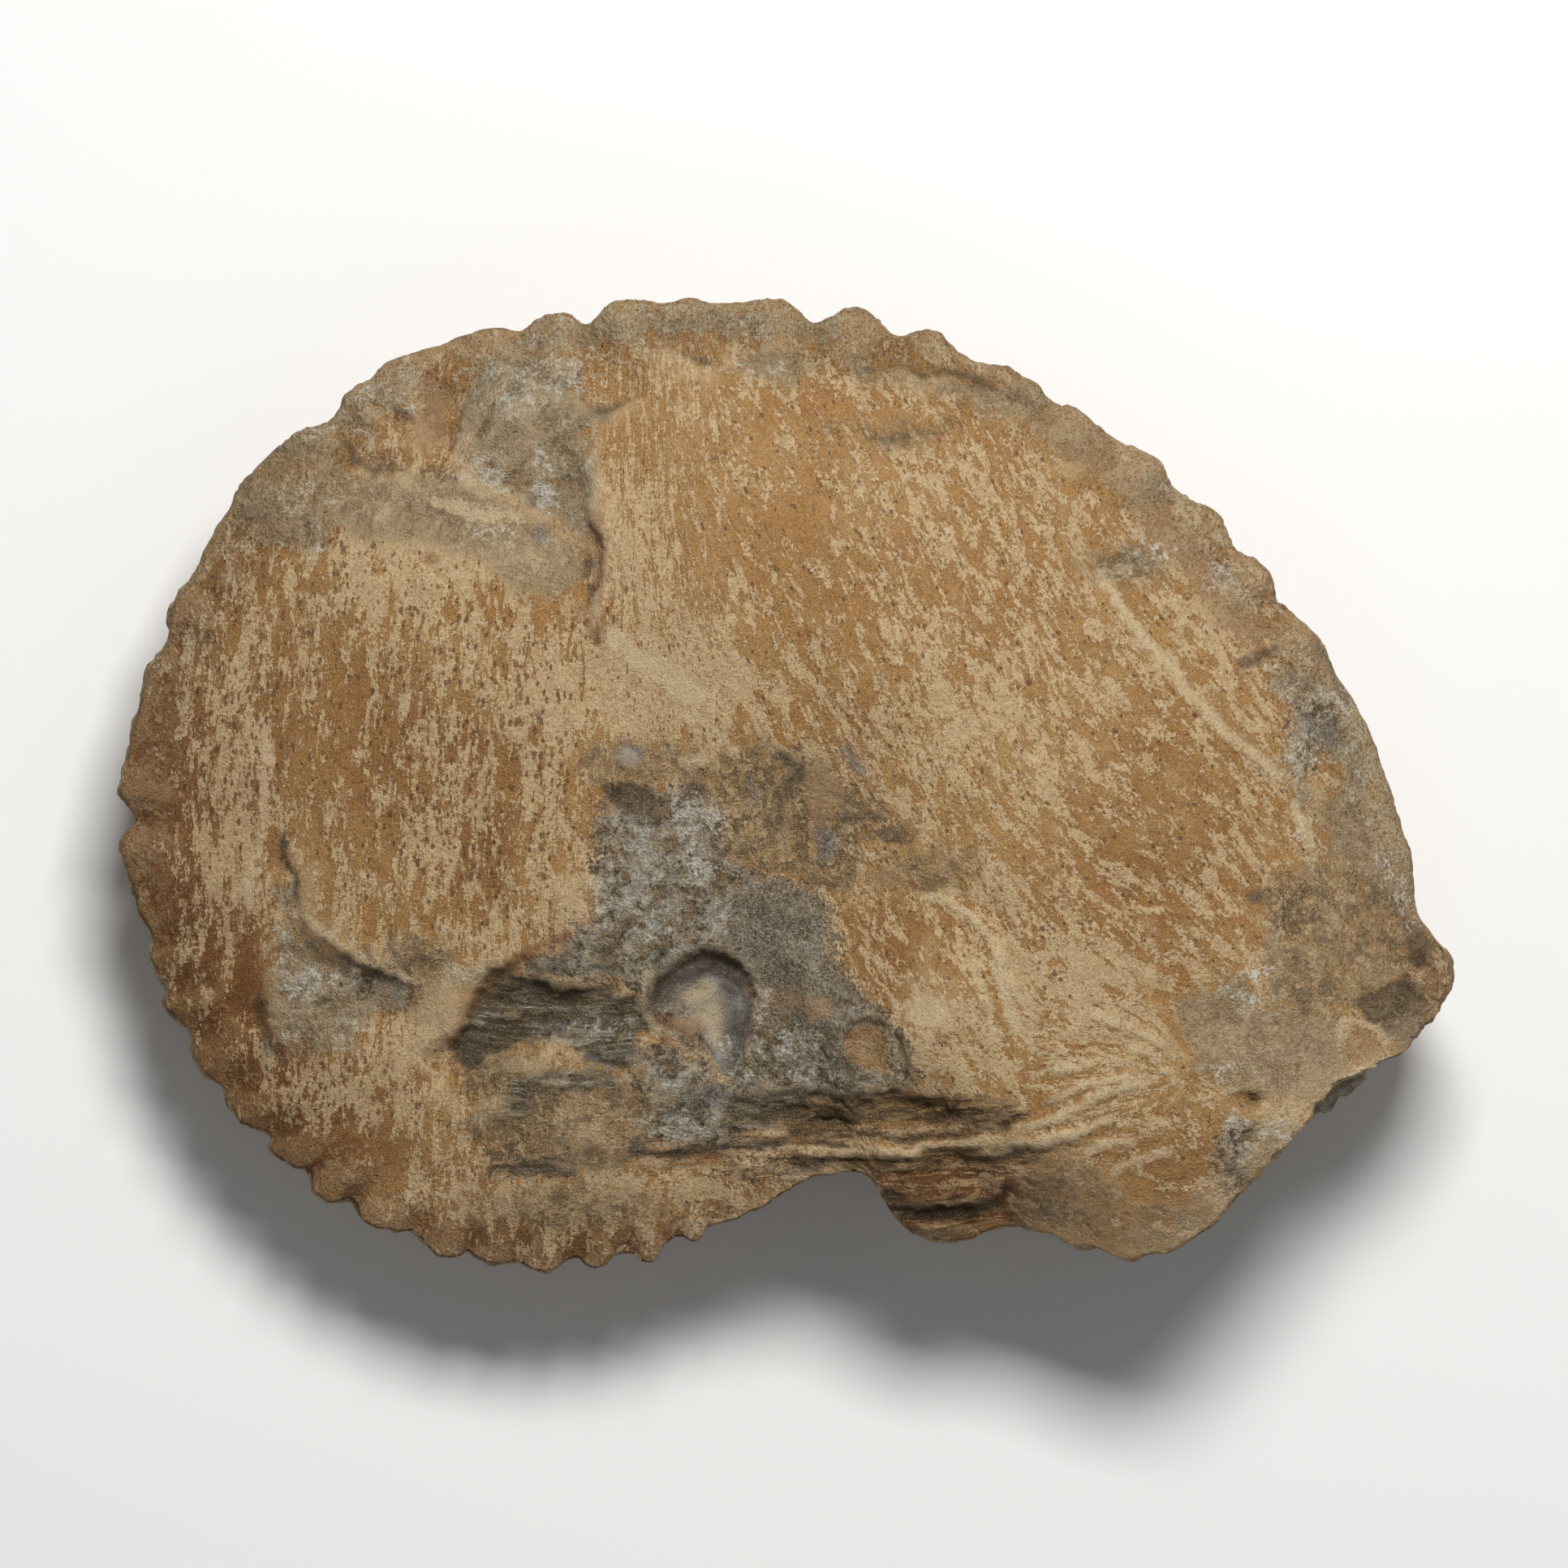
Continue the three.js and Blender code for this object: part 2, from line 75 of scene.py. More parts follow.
# Outer edge, bead by bead from its lower end round the left, top and right: the notch, then the bead.
BEADS = [
    [(-7.7, -44), (-8.3, -45.2), (-9.1, -45.4), (-9.9, -44.9)],
    [(-10.7, -44.8), (-11.7, -45.4), (-12.3, -46.5), (-13, -47.4), (-13.8, -47.4), (-14.9, -46.6)],
    [(-15.7, -46.5), (-16.8, -46.8), (-17.7, -47.7), (-18.6, -48.1), (-19.7, -47.7), (-20.3, -47.1)],
    [(-21, -47), (-22.1, -47.6), (-23.2, -48.2), (-24.3, -48.3), (-25.7, -47.8)],
    [(-26.6, -47.2), (-28.3, -47.6), (-29.4, -47.5), (-30.5, -47)],
    [(-31.4, -46.3), (-32, -46.7), (-33, -47), (-34.3, -46.9), (-35.1, -46.2), (-36.2, -44.9)],
    [(-37, -44.2), (-38.1, -44.2), (-39.3, -44.2), (-40.5, -44.1), (-41.7, -43.4), (-42.4, -42.4)],
    [(-42.9, -41.4), (-44.1, -41.4), (-45.4, -41.4), (-46.5, -40.7), (-47, -39.6)],
    [(-47.2, -38.5), (-48.5, -38.2), (-50.1, -37.4), (-51, -36.4)],
    [(-50.7, -35.1), (-51.5, -34.4), (-52.9, -34), (-54.1, -33.5), (-54.6, -32.7), (-55.1, -31.4)],
    [(-55.6, -30), (-56.5, -29.4), (-57.5, -28.6), (-58.2, -27.5), (-58.7, -26.1)],
    [(-59, -24.7), (-59.9, -23.5), (-61.3, -22.2), (-61.5, -21.6)],
    [(-61.1, -20.6), (-62.3, -18.6), (-63, -17)], [(-62.6, -15.7), (-64.2, -12.2)],
    [(-64.7, -10.4), (-65.3, -8.3), (-65.8, -6.3), (-65.3, -4.7)],
    [(-64.4, -3.5), (-65.3, -1.9), (-66, -0.9), (-65.4, 1.7)],
    [(-65, 3.5), (-64.8, 5.3), (-64.2, 7), (-63.7, 9.2)], [(-63.1, 11.3), (-62.2, 12.7), (-61.2, 14.2)],
    [(-61, 15.3), (-60.9, 17.1), (-60, 19)], [(-58.8, 20.4), (-57.8, 22), (-57.1, 24.1)],
    [(-55.9, 26), (-55, 27.4), (-54, 29.4), (-52.5, 31.2), (-50.8, 33), (-49.3, 34.2), (-47.3, 35.3),
     (-45.7, 35.6)],
    [(-44.5, 36.3), (-43.7, 37.4), (-43.4, 38.6), (-42.6, 39.4)],
    [(-41.3, 39.8), (-39.7, 41.3), (-38.1, 42.3), (-36.1, 43)],
    [(-34, 43.4), (-32.2, 44.2), (-30.1, 45.1), (-28.6, 45.3), (-26.8, 45)],
    [(-25.7, 45), (-24.4, 45.9), (-22.8, 46.6), (-21.4, 46.6), (-20.4, 46)],
    [(-19.6, 45.6), (-18.7, 46.2), (-17.6, 47.3), (-16.4, 48), (-14.7, 48.2), (-13.3, 47.9)],
    [(-12.2, 47.7), (-10.3, 47.9), (-8.7, 48.1)],
    [(-7.3, 47.8), (-5.3, 47.7), (-3.4, 47.7), (-1.6, 48.1), (-0.4, 48.1), (0.8, 47.6), (1.6, 46.8),
     (2.5, 45.8)],
    [(3.4, 45.7), (4.3, 46.1), (5.6, 46.9), (6.8, 47.1), (8.2, 46.9), (9.3, 46), (10.3, 44.8)],
    [(11.7, 44.2), (12.7, 44.6), (14.1, 45), (15.4, 44.8), (16.4, 43.8), (17.6, 42.6)],
    [(19.1, 41.8), (20.9, 41.4), (22.2, 41.1), (23.6, 40.4), (25, 39.4), (25.8, 38.2)],
    [(26.7, 37.6), (28.4, 37.3), (29.8, 36.4), (31.3, 35)],
    [(32.7, 33.8), (34.4, 33.4), (35.6, 33), (36.7, 32.3), (37.4, 31.3), (37.8, 30.1)],
    [(38.9, 28.7), (40.3, 28.2), (41.8, 27.5), (42.9, 26.4), (43.5, 24.9)],
    [(44.4, 23.3), (45.6, 22.6), (46.7, 22), (47.8, 20.9), (48.2, 19.7), (48.3, 18.2)],
    [(49.3, 17.4), (50.7, 16.5), (52, 15.6), (53, 14.5), (53.8, 12.6)],
    [(54.5, 10.5), (55.3, 9.6), (56.2, 8), (57.4, 5.8), (58.3, 3.8)], [(59, 2.1), (59.4, 1), (60.2, -1.7)],
    [(61.1, -4.7), (61.8, -6.7), (62.1, -9.1), (62.1, -10.6)],
]
BREAK = [
    (62.5, -12.7), (63.4, -13.8), (64.3, -15.3), (65.4, -16.5), (65.9, -17.9), (66.1, -19.1), (65.8, -20.3),
    (64.9, -22.2), (63.8, -23.5), (62.6, -24.6), (61, -26.6), (59, -27.4), (57.2, -28.4), (55.5, -29),
    (54.2, -29.6), (53.6, -30.2), (53.1, -31.2), (52.3, -31.6), (52.2, -32.6), (51.1, -33.9), (50.3, -34.6),
    (45.1, -40.1), (43.9, -41.4), (42.7, -43), (41.1, -44.2), (39, -45.4), (37, -46), (35.5, -46.4),
    (34.2, -47), (32.7, -46.6), (31.1, -45.8), (30.2, -45.6), (29.1, -45.7), (27.7, -45.2), (26.6, -44.4),
    (25.1, -44.2), (23.9, -43.8), (22.8, -43.7), (21, -43.9), (19.7, -44.3), (18.7, -44.9), (17.1, -45.1),
    (15.4, -45.2), (13.8, -45), (12.6, -44.4), (11.5, -43.3), (10.6, -42.2), (9.6, -40.5), (8.8, -39),
    (7.8, -38.4), (6.7, -38.3), (5.1, -38.4), (4.2, -38.5), (2.7, -38.7), (1.4, -39.6), (0.2, -40.3),
    (-1.4, -41.3), (-2.2, -41.9), (-3.4, -42.3), (-4.6, -43), (-6.2, -43.5), (-7.4, -43.8),
]

# Ledges: line, drop on its right-hand side, width of the step, reach over which the ground recovers.
LEDGES = [
    ([(-12.3, 39), (-14.1, 38.2), (-15.8, 37.4), (-17.4, 36.9), (-18.6, 35.7)], 1, 1.2, 7),
    ([(-18.4, 36.1), (-19.3, 33.7), (-19.5, 30.9), (-19.5, 26.1)], 0.6, 2.4, 12),
    ([(-17.4, 36.6), (-18.6, 34.5), (-19.2, 31.3), (-19.4, 27.7), (-18.2, 24.5), (-17.7, 22.1),
      (-17.8, 20.3), (-18.5, 19), (-18.9, 17.3), (-19, 14.1)], 1.2, 1, 11),
    ([(-49.7, -5.3), (-48.8, -6.9), (-48, -9), (-47.8, -11.4), (-47.4, -12.5),
      (-47.7, -13.9)], 0.5, 0.9, 3),
    ([(-49.3, -12.2), (-47.4, -13.3), (-46.3, -14.9), (-43.7, -16.3), (-41, -18.2), (-38.7, -19),
      (-36.4, -20), (-33.4, -20.2)], 1.1, 1.2, 8),
    ([(-36.3, -27.4), (-35.5, -26.3), (-33.7, -25.8), (-32.4, -24.6), (-31.4, -23.3), (-30.6, -21.7),
      (-29.5, -19.9), (-28.3, -18.7), (-26.1, -17.1), (-24.5, -15.9)], 2.5, 1.8, 8.5),
    ([(-27.3, -19.8), (-24.5, -19.8), (-21.3, -19.9), (-18.5, -20.2), (-16.1, -21),
      (-13.7, -21.3)], 0.8, 0.8, 5),
    ([(-29.3, -23.2), (-26.1, -23.3), (-22.9, -22.8), (-20.3, -23.2)], 0.7, 0.7, 4),
    ([(-19.7, -26.4), (-17.7, -26.7), (-15.3, -27.6)], 0.6, 0.7, 3),
    ([(-6.5, -30.9), (-4.5, -30.6), (-1.3, -30.3), (2.7, -30.1), (6.7, -30.2), (11.5, -30.2),
      (15.5, -30.6), (19.1, -31)], 0.6, 1.6, 5),
    ([(-0.9, -34.1), (1.5, -33.3), (3.5, -32.7), (5.9, -32.6), (7.5, -33.1)], 0.5, 0.7, 2),
    ([(39.9, -27.7), (38.7, -25.9), (38.1, -23.7), (36.7, -21.5), (35, -19.4)], 0.5, 0.9, 9),
    ([(-49.7, -27.2), (-50.9, -25.9), (-53.3, -23.7), (-54.5, -21.1), (-54.6, -18.9), (-54.1, -17),
      (-53, -14.3), (-51.7, -10.3), (-50.4, -5.9)], 0.7, 0.9, 5),
    ([(29.1, 33.4), (25.5, 36.1), (20.7, 39), (14.7, 40.3), (11.5, 41.1), (9.1, 41.3),
      (2.7, 42.2)], 1.3, 1.8, 8),
    ([(-5.3, 41), (-7.3, 41.5), (-9.3, 42.3), (-12.1, 42.9), (-16.5, 43)], 1.2, 1, 7),
    ([(-29.4, 41.9), (-30.4, 39.7), (-31.5, 36.9), (-32.3, 32.9), (-32, 29.3)], 1, 1.6, 5.5),
    ([(58.7, -7.5), (55.5, -7.3), (52.3, -7.8), (49.9, -9.3)], 0.6, 0.9, 8),
    ([(43.1, -31.2), (43.8, -30.2), (45.1, -29.8), (46.6, -30.2), (47.5, -31.2)], 0.8, 0.7, 3),
    ([(-44.2, 36.6), (-43.2, 37.4), (-40.9, 37.7), (-38.2, 36.9), (-36.1, 35.5),
      (-34.5, 34.1)], 0.9, 0.8, 4),
]
# Grooves and ridges: line, depth or height, half width.
GROOVES = [
    ([(-14.9, -35.8), (-12.9, -36.3), (-10.7, -36.7), (-8.9, -36.2), (-5.3, -35.6), (-1.3, -35.2),
      (5.9, -35.3)], 0.5, 0.5),
    ([(-3.3, -32.8), (1.9, -32.5), (7.5, -32.4), (13.9, -32.5), (19.9, -32.6)], 0.6, 1.7),
    ([(2.7, -32.8), (4.5, -32.9), (6.4, -32.9)], 0.4, 0.45),
    ([(-51.8, -21.3), (-51.5, -23.5), (-50.7, -25.5), (-49.6, -27.2)], 0.7, 0.6),
    ([(10.6, -41.8), (13.1, -42.1), (16.3, -42), (19.5, -41.8)], 0.6, 0.6),
    ([(21.9, -39.4), (21.6, -40.5), (20.5, -41.3), (19, -41.8)], 0.6, 0.7),
    ([(26.7, 33.7), (27.7, 32.8), (28.3, 32.1)], 0.4, 0.4),
    ([(-0.9, -0.5), (-0.3, -1.9), (-0.6, -3.7), (-1, -5.1)], 0.4, 0.45),
    ([(-12.5, -18.1), (-12.2, -17), (-11.7, -16)], 1.2, 0.5),
    ([(-10.2, 42.6), (-8.8, 42.2), (-7.2, 41.5)], 0.6, 0.5),
    ([(8.6, 41.1), (13.1, 40.6), (18.1, 40), (21.9, 38.3)], 0.4, 0.4),
]
RIDGES = [
    ([(2.7, -35.8), (6.7, -35.8), (9.9, -35.9), (13.1, -35.6), (18.7, -35.1), (23.5, -34.8), (27.5, -34.2),
      (30.7, -33)], 0.7, 0.5),
    ([(18.7, -34.6), (22.7, -33.9), (26.7, -32.5), (29.9, -30.7), (32.7, -29.5), (35.9, -28.6)], 0.5, 0.5),
    ([(20.7, -35.7), (25.9, -35), (29.9, -33.5), (32.3, -32)], 0.3, 0.5),
    ([(25.5, -30.9), (29.1, -29.4), (32.7, -28.5), (34.7, -28.2)], 0.4, 0.4),
    ([(24.3, -28.2), (28.3, -27.5), (32.3, -26.9), (34.7, -27.4)], 0.25, 0.4),
    ([(29.5, -22.4), (32.7, -23.5), (35.9, -25), (38.4, -26.6)], 0.35, 0.5),
    ([(33.5, -25.5), (35.9, -26.7), (38.6, -29)], 0.35, 0.45),
    ([(29.9, -35.7), (31.7, -35), (34.3, -35)], 0.3, 0.5),
    ([(31.9, -38.1), (34.7, -36.6), (37.9, -35.7)], 0.25, 0.5),
    ([(30.9, 20.6), (33.8, 15.8), (37, 11.9), (39.9, 8.4), (43.4, 4.9), (46.7, 2.2),
      (49.9, 0.3)], 0.6, 0.7),
    ([(13.5, -10.9), (15.9, -11.5), (18.3, -13), (20.2, -14.7), (21.9, -18.7), (22.9, -21.3)], 0.35, 0.6),
    ([(49.9, -1.9), (51, -4.3), (51.5, -7.5)], 0.5, 0.8),
    ([(-13.5, -18.3), (-13.5, -21.9), (-12.6, -24.2)], 0.4, 0.4),
]
LEDGE_TAPER, GROOVE_TAPER = 0.3, 0.18  # share of a line over which it runs out at either end
# Lumps (height over zero) and hollows: place, half sizes, height, brim as a share of the half sizes.
LUMPS = [
    (13.9, -20.7, 10.5, 11, 2.2, 1), (-25.3, 36.1, 8, 9.5, 1.7, 1), (-40.1, 37.7, 4.6, 3.4, 1.2, 0.8),
    (-38.9, 41.5, 3.6, 2.2, 0.8, 0.8), (-49.7, 27.5, 6, 5.5, 1.3, 0.9), (-47.5, 33.4, 4.6, 3.6, 0.8, 0.9),
    (-40.3, 32.5, 4.6, 3.2, -0.4, 0.9), (-34.2, 36.5, 2.8, 6.5, -1.1, 1), (-32.5, 25.3, 13, 6, -0.7, 1),
    (-42.9, -21.5, 8.5, 5.5, -1, 0.8), (-22.1, -22.7, 13, 7, -1.9, 1), (-30.9, -25.9, 4, 2.6, -0.8, 1),
    (33, 21.3, 4.2, 2, -0.9, 1), (45.8, -30.7, 0.9, 0.8, -1.3, 1), (15.4, -43.7, 4.6, 1.5, 1, 1),
    (-20.9, 23.2, 4.6, 6, -0.6, 1), (-11.7, -30.3, 6, 4.5, 0.8, 1), (-15.3, -1.5, 3, 1.8, -0.5, 0.7),
    (-8.5, -0.7, 2, 1.6, -0.4, 1), (-15.3, 2.6, 1.8, 1.5, 0.3, 0.6), (1.9, -23.1, 6, 6, 0.6, 1),
    (0.3, 40.5, 2.6, 2.4, -0.35, 0.6), (56.8, -25.8, 2.3, 2.2, -0.4, 0.3), (-7.7, 44.9, 7, 2.4, -0.5, 1),
    (-14.9, 45.3, 3.4, 2.4, 0.7, 1), (52.3, 4.9, 3, 5, -0.6, 1), (-26.1, -38.7, 3, 2, -0.5, 1),
    (-33.7, -28.7, 4, 2, -0.6, 1), (34.7, -5.9, 12, 14, 0.5, 1), (2.7, 26.1, 14, 10, 0.4, 1),
    (-31.7, 40.9, 2.2, 1.6, 0.5, 0.9), (28.3, 30.9, 3.4, 2.2, 0.6, 0.8), (37.1, 30.1, 4, 3, 0.5, 1),
    (43.5, 24.5, 3.6, 2.4, 0.5, 1), (50.7, 13.3, 3, 2, 0.5, 1), (-21.3, 41.3, 3, 1.6, 0.4, 1),
    (-45.7, -19.9, 4, 3, 0.6, 1), (-29.3, -32.3, 5, 3, 0.5, 1), (-19.7, -34.7, 6, 3, 0.5, 1),
]
# Rims: the half-moon pit, the ochre disc and the moat beside it, the grey bed, the flake by the right tip.
PIT = [
    (-13.3, -22.3), (-13.1, -20.7), (-12.3, -19.1), (-11, -17.8), (-9.6, -16.7), (-7.7, -16.1),
    (-5.7, -16.4), (-4.3, -17.3), (-3.3, -18.7), (-2.7, -20.7), (-2.9, -22.9), (-3.3, -25.1), (-4, -27.4),
    (-4.9, -29.4), (-6.1, -28.5), (-7.4, -26.7), (-8.8, -25.3), (-10.6, -24.5), (-12.6, -23.8),
]
DISC = [
    (5.7, -25.9), (5.7, -24.5), (6.6, -23.2), (8.3, -22.8), (10.1, -23.3), (10.7, -24.7), (11, -26.7),
    (11, -28.5), (8.7, -28.5), (6.7, -27.7),
]
MOAT = [
    (10.1, -23.4), (11.4, -24.6), (12.1, -26.7), (12.5, -29), (11, -28.8), (11, -26.7), (10.5, -24.8),
]
BED = [
    (-18.2, -3.5), (-17.3, -0.3), (-13.3, 0.5), (-9.3, 0.9), (-6.4, -0.7), (-6.1, -5.1), (-4.5, -7.7),
    (-0.5, -9), (3.1, -9.9), (5.5, -12.3), (5.9, -17.1), (7.7, -20.5), (9.8, -23.2), (5.9, -23.5),
    (5.1, -25.9), (5.9, -29.1), (-5.3, -29.9), (-6.9, -14.7), (-14.9, -14.7), (-18.1, -12.3),
]
FLAKE = [
    (56.2, -21.1), (57.9, -20.3), (59.7, -19.7), (61.1, -18.7), (62.9, -20.2), (63.5, -22.4),
    (62.1, -24.7), (60.5, -26.1), (59, -24.5), (56.8, -23),
]
# Bowls: rim, depth at the rim, width of its wall, further depth inside and the half width of that.
BOWLS = [(PIT, 1.3, 0.7, 1, 2.8), (DISC, 0.7, 0.6, 0.6, 2), (MOAT, 0.7, 0.5, 0, 1)]
# Sunken floors: rim, depth, width of the wall.
FLOORS = [(BED, 0.5, 3.6), (FLAKE, 0.25, 0.6)]
ROUGH_CORE = 0.5  # share of a spot's half sizes within which it is whole
# Broken ground: place, half sizes, height of the unevenness.
ROUGH = [
    (-36, 34, 19, 11, 0.5), (-8, 44, 12, 5, 0.4), (-8, -18, 17, 17, 0.3), (-43, -21, 9, 6, 0.4),
    (5, -35, 24, 6, 0.3), (-22, -24, 12, 8, 0.5), (52, -8, 10, 8, 0.15),
]
# Warp of drawn places: how far in mm, its size in mm, octaves, noise shifts for x and y.
WARPS = [(0.42, 3.1, 3, 11.0, 31.0), (0.14, 0.9, 2, 5.0, 25.0)]


def clamp01(v):
    return np.clip(v, 0.0, 1.0)


def smooth(start, end, v):
    """0 to 1 as v goes from start to end, eased."""
    u = clamp01((np.asarray(v, float) - start) / (end - start))
    return u * u * (3 - 2 * u)


def lerp(a, b, u):
    return a + (b - a) * u


def beside(line, x, y):
    """Distance from a line, the side (right-hand over zero), and the share along it."""
    off = np.full(x.shape, np.inf)
    side, along = np.ones(x.shape), np.zeros(x.shape)
    for i, ((ax, ay), (bx, by)) in enumerate(zip(line, line[1:])):
        dx, dy = bx - ax, by - ay
        t = clamp01(((x - ax) * dx + (y - ay) * dy) / (dx * dx + dy * dy))
        d = np.hypot(x - ax - t * dx, y - ay - t * dy)
        near = d < off - 1e-9
        off = np.where(near, d, off)
        side = np.where(near, np.where((x - ax) * dy - (y - ay) * dx >= 0, 1.0, -1.0), side)
        along = np.where(near, (i + t) / (len(line) - 1), along)
    return off, side, along


def tapered(along, share):
    """1 along a line, running out to 0 over a share of it at either end."""
    return smooth(0, share, along) * smooth(1, 1 - share, along)


def inside(rim, x, y):
    """Whether each place is inside a closed rim."""
    result = np.zeros(x.shape, bool)
    for (ax, ay), (bx, by) in zip(rim, rim[1:] + rim[:1]):
        if ay != by:
            result ^= ((ay > y) != (by > y)) & (x < ax + (y - ay) * (bx - ax) / (by - ay))
    return result


def depth_in(rim, x, y):
    """Distance inside a closed rim, under zero outside it."""
    off = beside(rim + rim[:1], x, y)[0]
    return np.where(inside(rim, x, y), off, -off)


def from_spot(x, y, at_x, at_y, half_x, half_y):
    """Distance from the middle of a spot, as a share of its half sizes."""
    return np.hypot((x - at_x) / half_x, (y - at_y) / half_y)


def wave(x, y, z=0.0):
    """The gentle unevenness that the solid has too."""
    coarse = 0.6 * np.sin(0.83 * x + 1.7 * np.sin(0.47 * y + 0.3 * z)) * np.sin(0.91 * y + 1.3 * z)
    fine = 0.4 * np.sin(1.37 * y - 0.9 * x + 0.8 * z) * np.sin(1.21 * x + 0.4 * z)
    return coarse + fine


def cloud(points, size, octaves, shift=0.0, rough=0.6):
    """Fractal noise of about -1 to 1 at each point, `size` mm from lump to lump."""
    return np.array([noise.fractal(Vector(p), rough, 2.1, octaves) for p in (points / size + shift).tolist()])


def warped(x, y):
    """Places moved a little to and fro, so that drawn lines come out natural."""
    at = np.column_stack([x, y, np.zeros(x.shape)])
    dx = sum(reach * cloud(at, size, octaves, shift) for reach, size, octaves, shift, _ in WARPS)
    dy = sum(reach * cloud(at, size, octaves, shift) for reach, size, octaves, _, shift in WARPS)
    return x + dx, y + dy


def relief(x, y):
    """Height of the ground over the plain crown."""
    z = np.zeros(x.shape)
    for rim, depth, wall, bowl, reach in BOWLS:
        d = depth_in(rim, x, y)
        z -= depth * smooth(0, wall, d) + bowl * smooth(0, reach, d)
    x, y = warped(x, y)
    for rim, depth, wall in FLOORS:
        z -= depth * smooth(-wall / 2, wall / 2, depth_in(rim, x, y))
    for line, drop, step, reach in LEDGES:
        off, side, along = beside(line, x, y)
        d = off * side
        height = drop * tapered(along, LEDGE_TAPER)
        z -= height * smooth(-step / 2, step / 2, d) * (1 - smooth(step, reach, d))
    for lines, sign in ((GROOVES, -1), (RIDGES, 1)):
        for line, height, half in lines:
            off, _, along = beside(line, x, y)
            z += sign * height * tapered(along, GROOVE_TAPER) * (1 - smooth(0, 2 * half, off))
    for *spot, height, brim in LUMPS:
        z += height * smooth(1, 1 - brim, from_spot(x, y, *spot))
    for *spot, height in ROUGH:
        z += height * smooth(1, ROUGH_CORE, from_spot(x, y, *spot)) * wave(x, y)
    return z


# ---- the edge of the coil -----------------------------------------------------------------------
EDGE_SPACING = 0.42
PLAIN_STEPS, BEADED_STEPS = 24, 12  # samples between two points of the curves
TEARING_STEPS = 6  # the wall turns from beaded to broken over about as many samples


def curve(points, per_step):
    """A smooth closed line through the points (centripetal Catmull-Rom), `per_step` samples a step."""
    p = np.array(points, float)
    a, b, c, d = np.roll(p, 1, 0), p, np.roll(p, -1, 0), np.roll(p, -2, 0)

    def gap(u, v):
        return np.sqrt(np.linalg.norm(v - u, axis=1))[:, None]

    t1 = gap(a, b)
    t2 = t1 + gap(b, c)
    t3 = t2 + gap(c, d)
    rows = []
    for u in np.arange(per_step) / per_step:
        t = t1 + (t2 - t1) * u
        a1, a2 = a + (b - a) * t / t1, b + (c - b) * (t - t1) / (t2 - t1)
        a3 = c + (d - c) * (t - t2) / (t3 - t2)
        b1, b2 = a1 + (a2 - a1) * t / t2, a2 + (a3 - a2) * (t - t1) / (t3 - t1)
        rows.append(b1 + (b2 - b1) * (t - t1) / (t2 - t1))
    return np.stack(rows, 1)  # step, sample, xy


def run_of(line):
    """How far along a line each of its points is."""
    return np.append(0, np.cumsum(np.linalg.norm(np.diff(line, axis=0), axis=1)))


def along_line(line, shares):
    """Points at shares of the length of a line."""
    run = run_of(line)
    return np.stack([np.interp(shares * run[-1], run, line[:, k]) for k in (0, 1)], 1)


def edge_samples():
    """Plain edge, beaded edge, share of the way round and broken or not, by sample, and the length."""
    notches = [bead[0] for bead in BEADS] + BREAK
    plain = curve(notches, PLAIN_STEPS)
    beaded = curve([p for bead in BEADS for p in bead] + BREAK, BEADED_STEPS)
    plain_rows, beaded_rows, on_break = [], [], []
    at = 0
    for i in range(len(notches)):
        steps = len(BEADS[i]) if i < len(BEADS) else 1
        part = beaded[at : at + steps].reshape(-1, 2)
        at += steps
        part = np.vstack([part, beaded[at % len(beaded)][:1]])
        count = max(2, round(run_of(part)[-1] / EDGE_SPACING))
        shares = np.arange(count) / count
        beaded_rows.append(along_line(part, shares))
        plain_rows.append(along_line(np.vstack([plain[i], plain[(i + 1) % len(plain)][:1]]), shares))
        on_break += [i >= len(BEADS)] * count
    beaded = np.vstack(beaded_rows)
    steps = np.linalg.norm(np.roll(beaded, -1, 0) - beaded, axis=1)
    share = np.append(0, np.cumsum(steps))[:-1] / steps.sum()
    return np.vstack(plain_rows), beaded, share, np.array(on_break, float), steps.sum()


base, beaded, share, broken, edge_length = edge_samples()
tangent = np.roll(base, -1, 0) - np.roll(base, 1, 0)
tangent /= np.linalg.norm(tangent, axis=1)[:, None]
outward = np.stack([-tangent[:, 1], tangent[:, 0]], 1)
bulge = beaded - base
bead = np.maximum((bulge * outward).sum(1), 0)
for _ in range(TEARING_STEPS):
    broken = (np.roll(broken, 1) + 2 * broken + np.roll(broken, -1)) / 4
radius = np.hypot(base[:, 0] - CENTRE[0], base[:, 1] - CENTRE[1])
EDGE = {"base": base, "bulge": bulge, "out": outward}
EDGE.update(bead=bead[:, None], broken=broken[:, None], radius=radius[:, None])

# Unbroken radius by direction.
angle = np.degrees(np.arctan2(base[:, 1] - CENTRE[1], base[:, 0] - CENTRE[0]))
whole = broken < 0.5
FULL_ANGLE, FULL_RADIUS = np.array(sorted([*zip(angle[whole], radius[whole]), *UNBROKEN])).T


def edge_at(shares):
    """The edge's facts at shares of the way round."""
    closed = {name: np.vstack([rows, rows[:1]]) for name, rows in EDGE.items()}
    known = np.append(share, 1.0)
    return {
        name: np.stack([np.interp(shares, known, rows[:, j]) for j in range(rows.shape[1])], 1)
        for name, rows in closed.items()
    }


def field(x, y):
    """Share of the way in from the unbroken edge, and the crown height in that direction."""
    dx, dy = x - CENTRE[0], y - CENTRE[1]
    a = np.degrees(np.arctan2(dy, dx))
    full = np.interp(a, FULL_ANGLE, FULL_RADIUS, period=360)
    angles, heights = np.array(CROWN, float).T
    i = np.clip(np.searchsorted(angles, a) - 1, 0, len(angles) - 2)
    crown = lerp(heights[i], heights[i + 1], smooth(0, 1, (a - angles[i]) / (angles[i + 1] - angles[i])))
    return clamp01(1 - np.hypot(dx, dy) / full), crown


